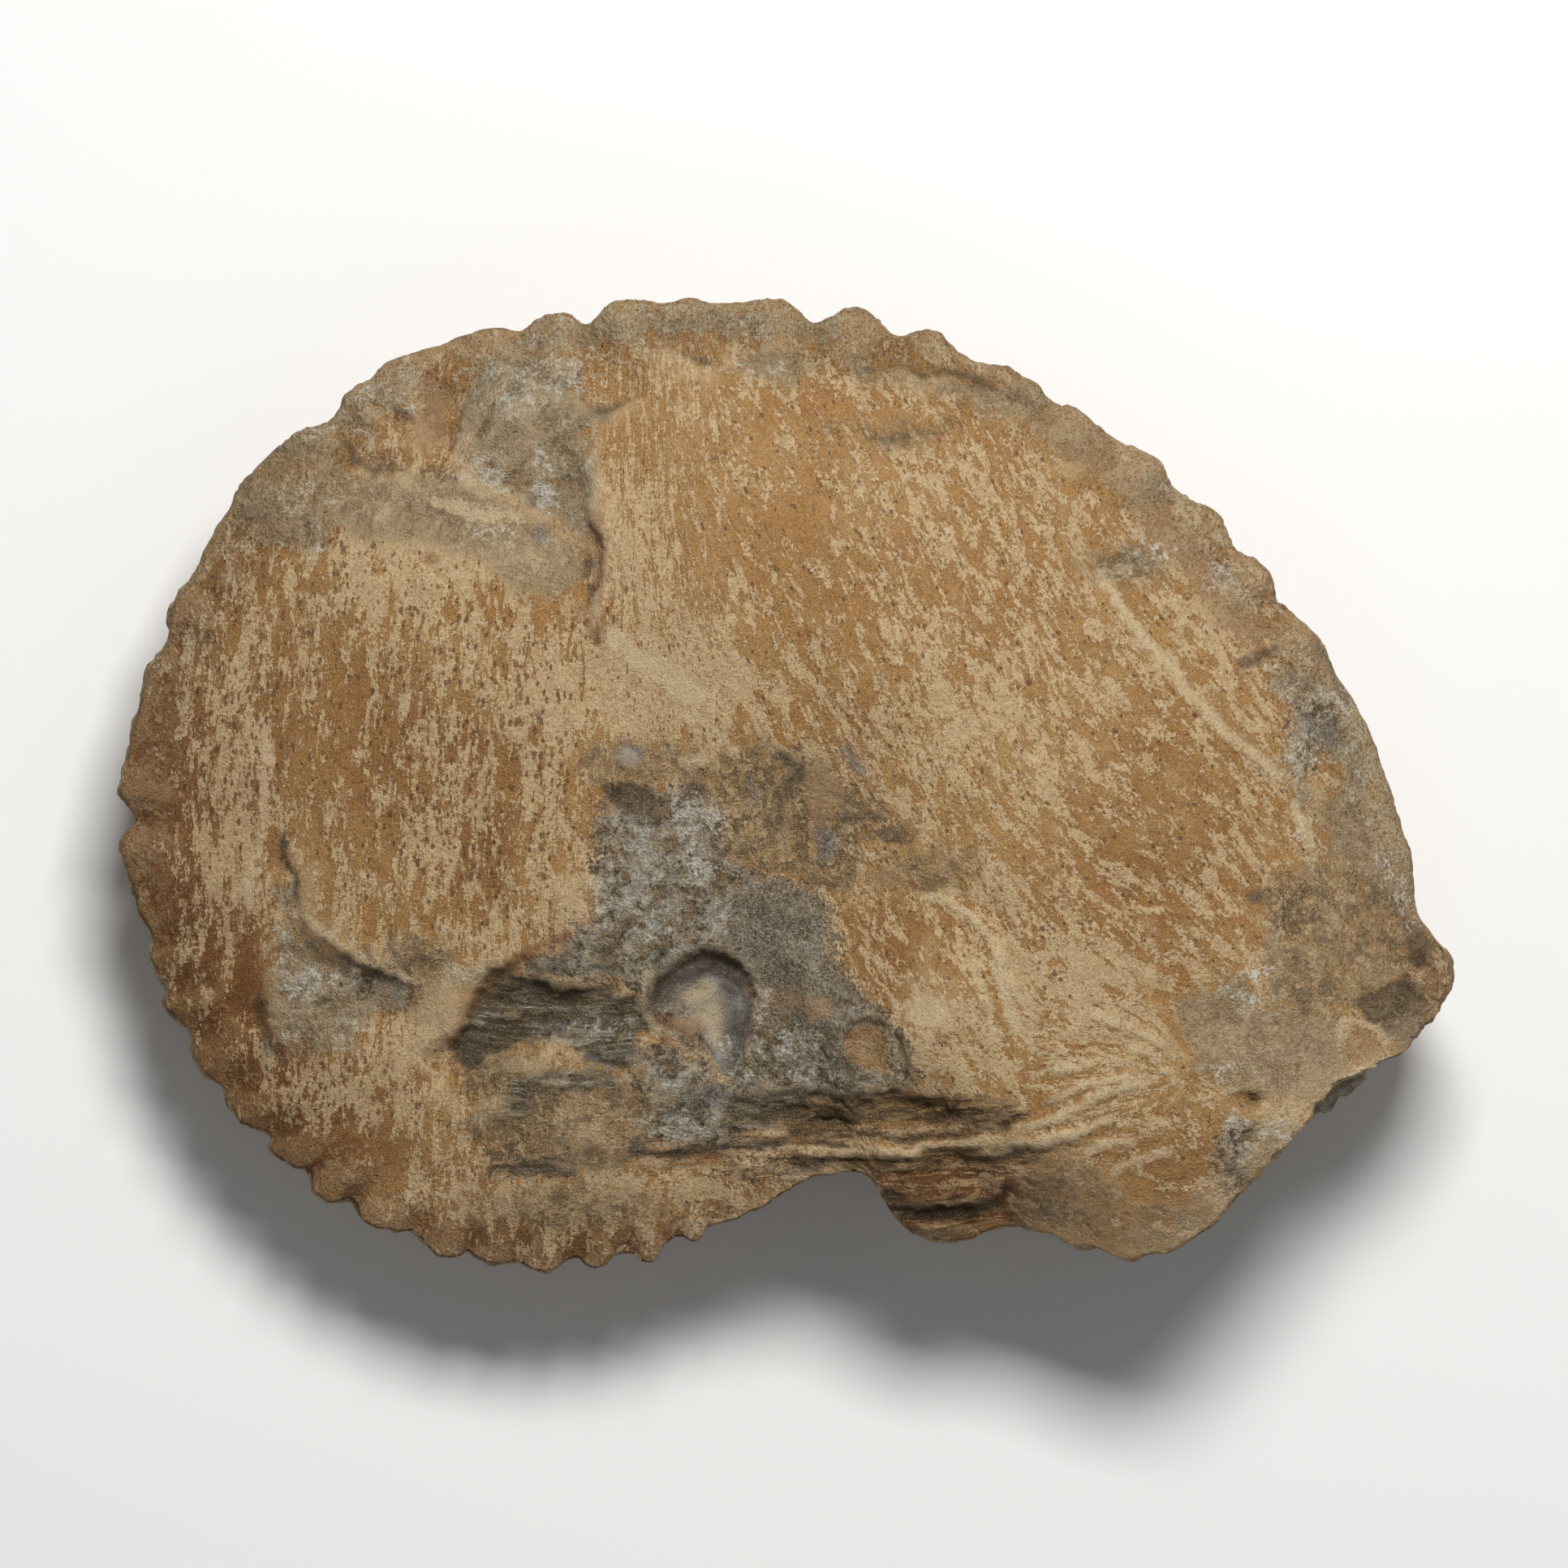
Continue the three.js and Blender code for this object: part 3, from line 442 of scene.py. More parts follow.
def place(e, inward):
    """Plan of a ring that has moved in by a share, with what field() says there."""
    direction = (e["base"] - CENTRE) / e["radius"]
    reach = (1 - inward) * lerp(e["radius"], MEAN_RADIUS, inward**CIRCLE_POWER)
    keep = 1 - smooth(0, BEAD_REACH, e["radius"] - reach)
    xy = CENTRE + direction * reach
    depth, crown = field(xy[:, 0], xy[:, 1])
    return xy + e["bulge"] * keep, depth, crown


def keel(x):
    """Height of the middle of the outer side."""
    return KEEL_HEIGHT + KEEL_TILT * x


def top_points(e, inward):
    xy, depth, crown = place(e, inward)
    swell = 1 - (1 - clamp01(depth / CROWN_FULL)) ** CROWN_ROUND
    z = lerp(keel(e["base"][:, 0]) + VENTER_HALF, crown, swell)
    z = lerp(z, UMBILICUS_TOP, smooth(UMBILICUS_START, 1, depth))
    z = z + e["bead"][:, 0] * BEAD_LIFT * smooth(BEAD_END, BEAD_START, inward)
    z = z + relief(xy[:, 0], xy[:, 1]) * lerp(EDGE_RELIEF, 1, smooth(0, RELIEF_FULL, inward))
    return np.column_stack([xy, z])


def under_points(e, inward):
    xy, depth, _ = place(e, inward)
    if inward >= REST_START:
        dimple = DIMPLE_DEPTH * smooth(DIMPLE_START, 1, inward)
        return np.column_stack([xy, np.full(len(xy), dimple)])
    left = (1 - clamp01(depth / REST_START)) ** 2
    rib = e["bead"][:, 0] * BEAD_LIFT * smooth(RIB_END, BEAD_START, inward) * left
    z = (keel(e["base"][:, 0]) - VENTER_HALF) * left - rib
    return np.column_stack([xy - LOWER_ROW_INSET * left[:, None] * e["out"], z])


def wall_points(e, level):
    """The wall at a share of the way down from the upper bead row to the lower one."""
    upper, lower = top_points(e, 0), under_points(e, 0)
    p = lerp(upper, lower, level)
    x, y, z = upper[:, 0], upper[:, 1], p[:, 2]
    scar = smooth(SCAR_REACH, 0, np.hypot(x - SCAR_AT[0], y - SCAR_AT[1])) * smooth(*SCAR_LEVELS, level)
    torn = TORN_WAVE * wave(e["base"][:, 0], e["base"][:, 1], z) - TORN_IN + SCAR_OUT * scar
    channel = -(VENTER_HOLLOW + BEAD_HOLLOW * e["bead"][:, 0])
    push = lerp(channel, torn, e["broken"][:, 0]) * math.sin(math.pi * level)
    turn = min(1.0, min(level, 1 - level) / SHOULDER_SHARE)
    rounding = SHOULDER * (1 - math.sqrt(max(0, 1 - (1 - turn) ** 2)))
    p[:, :2] += e["out"] * (push - rounding)[:, None]
    return p


# ---- weaving ------------------------------------------------------------------------------------
TOP_SPACING, UNDER_SPACING, DIMPLE_SPACING = 0.4, 1.2, 1.4
WALL_LEVELS, DIMPLE_RINGS, DIMPLE_END = 18, 13, 0.985
EDGE_SHARE = 0.05  # rings nearer to the edge than this keep the samples of the edge
RING_LENGTH = 0.92  # rings are shorter than the beaded edge, which goes to and fro
rings = []  # (shares, points)


def even(inward, spacing):
    """Even shares of the way round, `spacing` mm apart on a ring that has moved in by a share."""
    count = max(10, round(edge_length * RING_LENGTH * (1 - inward) / spacing))
    return np.arange(count) / count


top_count = round(MEAN_RADIUS / TOP_SPACING)
for k in range(top_count - 1, 0, -1):
    inward = k / top_count
    u = share if inward < EDGE_SHARE else even(inward, TOP_SPACING)
    rings.append((u, top_points(edge_at(u), inward)))
first_wall = len(rings)
edge = edge_at(share)
for k in range(WALL_LEVELS + 1):
    rings.append((share, wall_points(edge, k / WALL_LEVELS)))
last_wall = len(rings) - 1
under_count = round(MEAN_RADIUS * REST_START / UNDER_SPACING)
for k in range(1, under_count + 1):
    inward = REST_START * k / under_count
    u = share if k == 1 else even(inward, UNDER_SPACING)
    rings.append((u, under_points(edge_at(u), inward)))
for inward in np.linspace(REST_START, DIMPLE_END, DIMPLE_RINGS + 1)[1:]:
    u = even(inward, DIMPLE_SPACING)
    rings.append((u, under_points(edge_at(u), inward)))


def weave(sa, a0, sb, b0, faces):
    """Triangles between two neighbouring rings, always stepping along the one that lags."""
    na, nb = len(sa), len(sb)
    sa, sb = [*sa.tolist(), 1.0], [*sb.tolist(), 1.0]
    a = b = 0
    while a < na or b < nb:
        pa, pb = a0 + a % na, b0 + b % nb
        if b >= nb or (a < na and sa[a + 1] <= sb[b + 1]):
            a += 1
            faces.append((pb, pa, a0 + a % na))
        else:
            b += 1
            faces.append((pb, pa, b0 + b % nb))


faces, starts = [], np.append(0, np.cumsum([len(u) for u, _ in rings]))
for k in range(len(rings) - 1):
    weave(rings[k][0], int(starts[k]), rings[k + 1][0], int(starts[k + 1]), faces)
verts = np.vstack([p for _, p in rings])
for ring, upward in ((0, True), (len(rings) - 1, False)):  # close the first and the last ring
    first, count = int(starts[ring]), len(rings[ring][0])
    verts = np.vstack([verts, verts[first : first + count].mean(0)])
    for k in range(count):
        pair = (first + k, first + (k + 1) % count)
        faces.append((len(verts) - 1, *(pair[::-1] if upward else pair)))
faces = np.array(faces)


def normals(v):
    n = np.cross(v[faces[:, 1]] - v[faces[:, 0]], v[faces[:, 2]] - v[faces[:, 0]])
    total = np.stack([np.bincount(faces.ravel(), np.repeat(n[:, k], 3), len(v)) for k in range(3)], 1)
    return total / np.maximum(np.linalg.norm(total, axis=1), 1e-12)[:, None]


def relaxed(v, times):
    """The points after each has moved `times` times to the mean of its neighbours."""
    links = np.vstack([faces[:, [0, 1]], faces[:, [1, 2]], faces[:, [2, 0]]])
    count = np.bincount(links[:, 0], minlength=len(v))[:, None]
    for _ in range(times):
        v = np.stack([np.bincount(links[:, 0], v[links[:, 1], k], len(v)) for k in range(3)], 1) / count
    return v


# ---- where each kind of stone shows -------------------------------------------------------------
LAYERS = {}
CREAM_ON_RIDGE, GROOVE_SHADE = 0.6, 0.55  # as shares of a line's half width; the groove's share sets its painted shade
WIDEST_GROOVE_SHADE = 0.3  # mm, the widest painted shade in a groove


def draw(name, patches=(), lines=(), spots=()):
    """A layer is made of patches (rims), lines (points and half width) and spots (place, half sizes)."""
    LAYERS[name] = (patches, lines, spots)


draw("plain", patches=[
    [(-45.3, 32.5), (-42.1, 29.9), (-37.3, 30.7), (-32.5, 30.1), (-29.3, 28.3), (-25.3, 26.9),
     (-20.9, 23.7), (-19, 21.3), (-22.1, 17.9), (-26.1, 18.5), (-29.3, 22.1), (-35.7, 23.8), (-41.3, 23.8),
     (-44.5, 25.7), (-46.5, 29.3)],
    [(38.3, -20.7), (41.1, -19.9), (45.9, -21.3), (50.7, -22.1), (55.1, -23.1), (54.6, -25.9),
     (55.5, -28.5), (52.3, -30.3), (48.3, -30.9), (42.7, -29.5), (39.9, -27.9), (38.9, -25.9),
     (38.4, -23.1)],
], lines=[
    ([(24.3, 36.9), (29.9, 31.7)], 0.8), ([(53.9, -2.7), (57.9, -7.5), (60.3, -11.5)], 1.6),
], spots=[
    (-19.3, 26.1, 1.2, 3), (36.7, 28.9, 2.2, 1.4), (0.3, 40.9, 2.4, 2), (22.7, 38.1, 3.4, 1.6),
    (55.5, -4.3, 2.4, 4),
])
draw("speckle", patches=[
    [(47.7, -9.5), (50.7, -7.9), (53.9, -7.1), (58.7, -7.5), (61, -11.5), (61.5, -16.3), (59.9, -19.1),
     (56.3, -21.8), (50.7, -22.1), (47.1, -20.7), (46.3, -17.1), (46.7, -13.1)],
    [(-18.9, 4.1), (-13.3, 4.9), (-6.9, 2.9), (-0.5, 4.1), (3.5, 2.9), (7.5, -1.9), (7.5, -6.7),
     (5.9, -10.7), (2.7, -9.1), (-2.9, -7.5), (-6.5, -5.1), (-6.9, 0.5), (-18.1, 0.1), (-20.1, 2.1)],
    [(-32.5, -26.7), (-26.1, -25.9), (-19.7, -27.5), (-13.3, -29.1), (-10.1, -34.7), (-16.5, -37.9),
     (-26.1, -38.7), (-29.3, -36.3), (-30.1, -30.7)],
], lines=[
    ([(-53.3, 29.3), (-50.1, 32.5), (-45.3, 34.9)], 2), ([(7.5, 41.3), (17.1, 39.3), (21.9, 37.3)], 1.2),
], spots=[
    (-21.3, -41.9, 10, 2.6), (27.5, -39.9, 5, 3.4), (39.5, -42.7, 5, 2.4), (-35.7, -17.1, 3.4, 2.6),
    (11.5, 34.1, 3, 1.4), (33.5, 21.3, 4.4, 2.2), (14.7, -8.3, 4, 2), (-0.5, -15.5, 4, 5),
])
draw("ash", patches=[
    [(-30.2, 42.1), (-26.1, 42.7), (-21.3, 42.1), (-19, 41.1), (-20.3, 38.7), (-18.2, 36.3), (-19.5, 33.4),
     (-18.1, 30.6), (-19.5, 28.2), (-18.6, 25.3), (-22.1, 25.3), (-26.1, 28.9), (-29.3, 29.3),
     (-31.3, 32.5), (-31.7, 37.3)],
    [(-53.9, 26.1), (-52.8, 29), (-48.5, 30.5), (-45.3, 28.5), (-43.7, 25.3), (-45.3, 23.3), (-50.1, 23.5)],
    [(-49.7, -14.7), (-48.3, -13.5), (-47, -14.7), (-45.7, -16.5), (-43.7, -18.1), (-40.5, -19.1),
     (-37.3, -19.9), (-35.5, -20.5), (-37.3, -21.6), (-39.7, -22.1), (-41.3, -23.7), (-42.1, -25.9),
     (-46.9, -26.6), (-49.3, -25.9), (-50.2, -23.7), (-50.9, -21.8), (-50.4, -18.7)],
    [(43.4, -32.5), (46.3, -33), (50.7, -33.5), (47.5, -37.1), (42.7, -40.3), (41.9, -37.1)],
], lines=[
    ([(49.9, 10.1), (53.9, 6.9), (56.5, 0.5)], 1.8), ([(49.9, 2.9), (50.7, -1.5)], 1),
    ([(53.9, 13.3), (58.7, 1.3), (60.5, -7.5)], 0.7), ([(-42.9, 35.7), (-40.9, 38.1), (-37.3, 39.7)], 1.2),
    ([(-26.1, 43), (-21.3, 44.2), (-16.5, 45.1), (-9.3, 45.8), (-2.1, 45.4), (4.3, 44.8)], 1.3),
    ([(-49.3, -10.3), (-47.8, -13)], 0.9),
], spots=[
    (42.7, 20.2, 1.6, 1), (-47.5, 33.4, 2.6, 1.8), (5.1, -27.5, 2.4, 1.6), (-10.9, -33.9, 2.6, 1.2),
    (34.7, 22.1, 1.6, 0.6), (-29.3, -18.7, 2.4, 1), (-2.1, 41.3, 2, 1), (44.3, -19.9, 1.2, 1.4),
])
draw("branches", patches=[
    [(-6.1, 2.9), (-2.9, 4.1), (2.7, 3.3), (7.5, 2.1), (11.5, -3.5), (13.1, -8.3), (9.1, -10.7),
     (2.7, -10.3), (-2.9, -9.1), (-6.1, -5.9)],
    [(-32.5, -29.1), (-26.1, -27.5), (-21.3, -29.9), (-23.7, -37.9), (-29.3, -38.7)],
], lines=[
    ([(-45.3, 32.5), (-37.3, 31.3), (-32.5, 30.1)], 0.6), ([(17.1, 35.7), (10.7, 33.7), (4.3, 34.9)], 0.6),
], spots=[
    (-37.3, -17.9, 4, 2), (49.9, -12.3, 3, 3),
])
draw("matrix", patches=[
    [(-18.2, -3.5), (-18.4, -11.9), (-19.7, -13.9), (-22.1, -15.5), (-24.5, -17.5), (-25.3, -19.1),
     (-19.7, -19.1), (-14.1, -19.9), (-13.3, -21.9), (-12.8, -23.7), (-10.5, -24.7), (-7.7, -26.6),
     (-5.7, -29.5), (-4.9, -30.7), (2.7, -30.2), (10.7, -29.7), (12.2, -28.5), (11.4, -25.5), (9.9, -23.2),
     (7.8, -20.5), (5.9, -18.3), (5, -15.9), (5.1, -13.1), (2.7, -10.3), (-0.9, -9), (-4.9, -7.7),
     (-6.2, -5.5), (-6.9, -1.5), (-9.3, 0.1), (-13.3, -0.7), (-16.9, -1.5)],
    [(-15.7, -25.9), (-9.3, -25.9), (-4.9, -30.3), (-5.3, -34.7), (-9.3, -35.7), (-11.5, -33.9),
     (-13.3, -30.7)],
], lines=[
    ([(-42.1, -19.2), (-37.3, -20.6)], 0.9), ([(43.7, -34.7), (44.3, -37.9)], 0.9),
], spots=[
    (51.5, 5.3, 1.8, 2.4), (1.9, -37.9, 3, 0.7),
])
draw("recess", patches=[
    [(-32.6, -25.4), (-31.5, -23.7), (-30.5, -21.8), (-29.3, -20.2), (-27.3, -18.9), (-25.3, -19.2),
     (-21.3, -19.6), (-16.5, -20.5), (-13.4, -21.3), (-12.8, -23.7), (-14.5, -25), (-15, -27.7),
     (-18.1, -27.2), (-21.3, -25.6), (-24.5, -25.1), (-27.3, -25.9), (-28.6, -27), (-30.9, -27.8),
     (-32.6, -26.7)],
    [(-5.7, -30.6), (2.7, -30.3), (3.5, -31.5), (-0.5, -33.5), (-5.3, -34.9)],
], lines=[
    ([(-14.9, -36.2), (-10.9, -36.6), (-5.3, -35.7), (-0.5, -35)], 0.5),
    ([(10.7, -41.8), (19.1, -41.8)], 0.7),
], spots=[
    (-21.3, -29.1, 5, 1), (-26.1, -30.7, 1.4, 2), (-24.5, -37.9, 3, 0.9),
])
draw("strands", patches=[
    [(-0.5, -31.5), (3.5, -30.7), (10.7, -30.3), (15.5, -30.7), (20.7, -30.7), (23.7, -31.8),
     (21.8, -33.8), (14.7, -34.6), (7.5, -35), (0.7, -34.9)],
    [(9.5, -39.1), (13.1, -40.2), (18.7, -40.3), (21.9, -41.9), (17.1, -44.2), (12.3, -43.9),
     (10.7, -41.9)],
], lines=[
    ([(1.1, -36.8), (9.1, -37.3), (17.1, -36.6), (25.1, -35.7)], 0.8),
], spots=[
    (17.9, -32.3, 5, 2),
])
draw("amber", patches=[
    [(5.9, -25.9), (6.1, -24.3), (7.5, -23.5), (9.5, -23.8), (10.1, -25.5), (10.4, -28.2), (8.2, -28),
     (6.6, -27.2)],
], lines=[
    ([(-26.1, -17.1), (-28.8, -19.4), (-30.5, -21.6), (-31.8, -24)], 0.35),
    ([(-24.9, -16.5), (-22.1, -16.2)], 0.3), ([(9.1, 41.3), (14.7, 40.3), (20.7, 39.1)], 0.35),
    ([(35.1, -19.7), (37.1, -22.3), (39.5, -26.7)], 0.5), ([(47.5, -6.7), (49.9, -6.7)], 0.6),
], spots=[
    (45.5, 22.1, 0.8, 0.5), (29.9, 30.9, 3, 1.4), (12.7, -33.5, 4, 0.6),
])
draw("rust", lines=[
    ([(-21.3, -14.9), (-24.1, -16), (-26.5, -17.5), (-28.5, -19), (-30.1, -21), (-31.4, -23)], 0.45),
    ([(-4.3, -18.1), (-3.4, -19.7), (-3, -21.9), (-3.3, -24.7)], 0.35),
    ([(-12.3, -22.7), (-10.9, -23.7), (-9.6, -24.2)], 0.4),
    ([(-18.2, 26.1), (-17.7, 22.1), (-18.5, 19)], 0.35), ([(-19, 15.7), (-18.2, 13.9)], 0.4),
    ([(28.3, 33.4), (30.7, 34.2), (32.2, 33.4)], 0.2), ([(9.5, -8.7), (12.7, -9.9)], 0.3),
], spots=[
    (-34.5, 22.1, 0.7, 0.5), (-18.5, 25.3, 0.6, 1.4), (52.5, 13.3, 0.8, 1.6), (-6.9, -36.3, 2, 0.5),
])
draw("pearl", patches=[
    [(-12.6, -21.6), (-12, -19.5), (-10.7, -18.2), (-9.3, -17.3), (-7.5, -16.7), (-5.7, -17),
     (-4.3, -17.9), (-3.5, -19.1), (-3.2, -21), (-3.4, -22.9), (-3.7, -25.1), (-4.4, -27.2), (-5, -29),
     (-6.2, -27.7), (-7.4, -26.1), (-8.2, -24.5), (-9, -22.7), (-10.4, -21.6)],
], spots=[
    (-15.1, 2.7, 1.4, 1.1),
])
draw("milk", patches=[
    [(-10.4, -20.8), (-8.8, -19.7), (-7.4, -19.2), (-6.4, -20.5), (-5.9, -22.7), (-6.1, -25.5),
     (-7, -25.9), (-7.8, -24.2), (-8.6, -22.4)],
])
draw("blush", patches=[
    [(-37.3, 38.9), (-35.7, 39.7), (-33.1, 38.7), (-33.1, 33.3), (-34.9, 32.3), (-36.9, 33.3)],
    [(54.9, -25.9), (55.4, -24.5), (56.8, -23.8), (58.2, -24.6), (58.9, -26.1), (58.1, -27.4),
     (56.5, -27.8), (55.4, -27)],
], lines=[
    ([(-2.9, -20.5), (3.5, -21.9)], 0.9), ([(-30.9, 42.9), (-26.1, 42.7)], 0.5),
    ([(-21.3, 17.1), (-18.5, 16.5)], 0.6), ([(26.7, 35), (33.5, 29.6), (39.9, 22.1), (45.5, 14.9)], 1.5),
], spots=[
    (3.9, -0.7, 2, 3), (-9.3, -23.7, 1.4, 1), (-34.1, -21.9, 3, 2), (-50.1, 24.9, 2, 1),
    (-0.1, -3.5, 1, 2), (9.1, -9.1, 2, 1),
])
draw("umber", patches=[
    FLAKE,
    [(-17.9, 0), (-13.3, -0.3), (-12.1, -1.6), (-12.6, -3), (-15.3, -2.7), (-17.3, -1.5)],
    [(60.7, -13), (62.1, -13.9), (63.7, -15.9), (63.4, -17.9), (61.5, -17.9)],
], lines=[
    ([(53, 13.3), (53.9, 10.9), (54.9, 8.3)], 0.6), ([(-0.3, 2.7), (1.9, 0.9), (0.3, -0.7)], 0.6),
    ([(-43.3, 33.7), (-42.1, 31.5), (-39.7, 30.7), (-37.3, 30.9)], 0.35),
    ([(48.5, 13.7), (45.1, 11.8)], 0.4), ([(9.9, -39.7), (10.7, -41.1), (14.7, -41.4), (20.7, -41)], 0.5),
    ([(-46.2, -16), (-45, -17.1), (-42.9, -17.9)], 0.6),
    ([(-49.3, -5.4), (-48.8, -7.4), (-48, -9.4), (-47.7, -11.4)], 0.3),
    ([(-42.9, -17.4), (-39.7, -18.7), (-36.6, -19.8)], 0.35),
], spots=[
    (-8.5, -0.6, 1.3, 0.8), (7.5, -3, 2, 0.5), (-19.3, 21.4, 0.8, 1), (46.3, -11.1, 0.9, 0.6),
    (10.7, -5.1, 2, 0.6), (-18.1, 36.1, 1.2, 0.7),
])
# Blue-grey stone; its two patches in the half-moon pit are painted shadow on the pit's upper and right walls.
draw("slate_and_pit_shadow", patches=[
    [(-11.4, -19.2), (-9.4, -17.9), (-6.5, -17.3), (-4.6, -18.4), (-4.9, -19.8), (-7.5, -18.7),
     (-9.9, -19.7)],
    [(-5.4, -22.6), (-4, -22.7), (-4.2, -25.9), (-5.1, -27.4), (-5.9, -25.8)],
], lines=[
    ([(-3.3, 0.3), (-3.1, -1.8)], 0.3), ([(3.7, -4.6), (4.2, -6.1)], 0.9), ([(6.2, 3.5), (7.2, 1.6)], 0.5),
], spots=[
    (-17.3, -26.7, 2, 0.9), (-24.5, 27.7, 0.6, 0.6), (-23.8, 24.5, 0.7, 0.9), (-21.3, -23.7, 2.6, 0.5),
    (-7.7, -30.7, 2.4, 0.9), (53.9, 4.9, 0.8, 1.6), (-50.9, -25.9, 0.5, 1),
])
draw("chalk", patches=[
    [(-9.6, -7.7), (-7.8, -7.2), (-6.1, -8.2), (-6.9, -9.1), (-9.1, -9)],
], lines=[
    ([(-23.9, 32), (-23.9, 29.3), (-23.5, 27.5)], 0.35), ([(-2.9, -25.3), (-3.8, -28.5)], 0.2),
    ([(-48.9, 26.1), (-46.9, 29.3)], 0.25), ([(50.7, -2.7), (50.6, -5.9)], 0.5),
    ([(-5.5, -25.4), (-4.6, -27.8)], 0.45), ([(-2.2, -20.7), (-2.6, -23.5)], 0.3),
    ([(52.7, -30.3), (55.1, -28.7), (58.7, -27.4)], 0.25), ([(58.7, -7.9), (61.8, -13.1)], 0.35),
], spots=[
    (-47, -19.7, 2, 1.5), (-49.1, -17.1, 0.7, 1.6), (1.5, -25.3, 1.6, 1.2), (-12.1, -14.4, 0.9, 0.7),
    (-8.5, -3.1, 2.2, 1.6), (46.2, -18.7, 0.6, 0.5), (44.4, -20.2, 0.4, 0.6), (46, -21.1, 0.5, 0.3),
    (42.5, -28.2, 0.6, 0.4), (42.7, 20.2, 0.9, 0.6), (36.7, 22.7, 0.6, 0.3), (44.6, -34.1, 0.9, 1.2),
    (49, -34.6, 1, 1), (-21.3, 40.3, 1.8, 0.9), (-24.5, 39.7, 1.2, 0.8), (-26.1, 37.3, 2, 1.4),
    (-36.9, 37.4, 0.7, 0.7), (-46.5, 34.9, 0.8, 0.6), (-29.7, 30.5, 1.4, 0.9), (-29.3, 24.7, 0.7, 0.3),
    (53.9, 8.1, 1.4, 1), (50.6, 2.5, 1.2, 1), (-41.3, 38.5, 1.2, 0.7), (3.9, -29.5, 1.4, 0.5),
    (-17.9, -10.6, 0.4, 1), (-10.9, -33.5, 1.6, 0.7), (-18.1, -23.9, 1, 0.4), (1.9, -29.1, 1.4, 0.5),
])
draw("cream", lines=[
    ([(-48.6, -12.2), (-46.7, -13.4), (-45.6, -14.7), (-43.4, -15.7), (-40.8, -17.5), (-38.5, -18.4),
      (-36.2, -19.4)], 0.4),
    ([(10, -24.2), (10.6, -26.1), (10.9, -28.3)], 0.2), ([(-9.3, 6.5), (-6.1, 4.9), (-4.9, 2.9)], 0.4),
    ([(20.7, -17.9), (22.7, -24.3)], 0.5), ([(18.7, -17.1), (20.7, -25.1)], 0.4),
    ([(-34.1, 27.7), (-26.1, 26.1)], 0.6), ([(-16.5, 14.1), (-8.5, 8.5)], 1),
    ([(-50.9, 5.3), (-51.2, -2.7), (-52, -7.5), (-53, -11.5)], 0.45),
    ([(54.6, -25.4), (54.4, -23.8), (55.5, -23), (57.8, -23.7), (59, -25.1)], 0.3),
    ([(7.5, -33.4), (13.1, -33.9), (21.1, -33.4)], 0.2),
] + [(line, CREAM_ON_RIDGE * half) for line, _, half in RIDGES], spots=[
    (13.9, -21.9, 2.4, 1.6), (-8.5, 2.1, 1.6, 0.8),
])
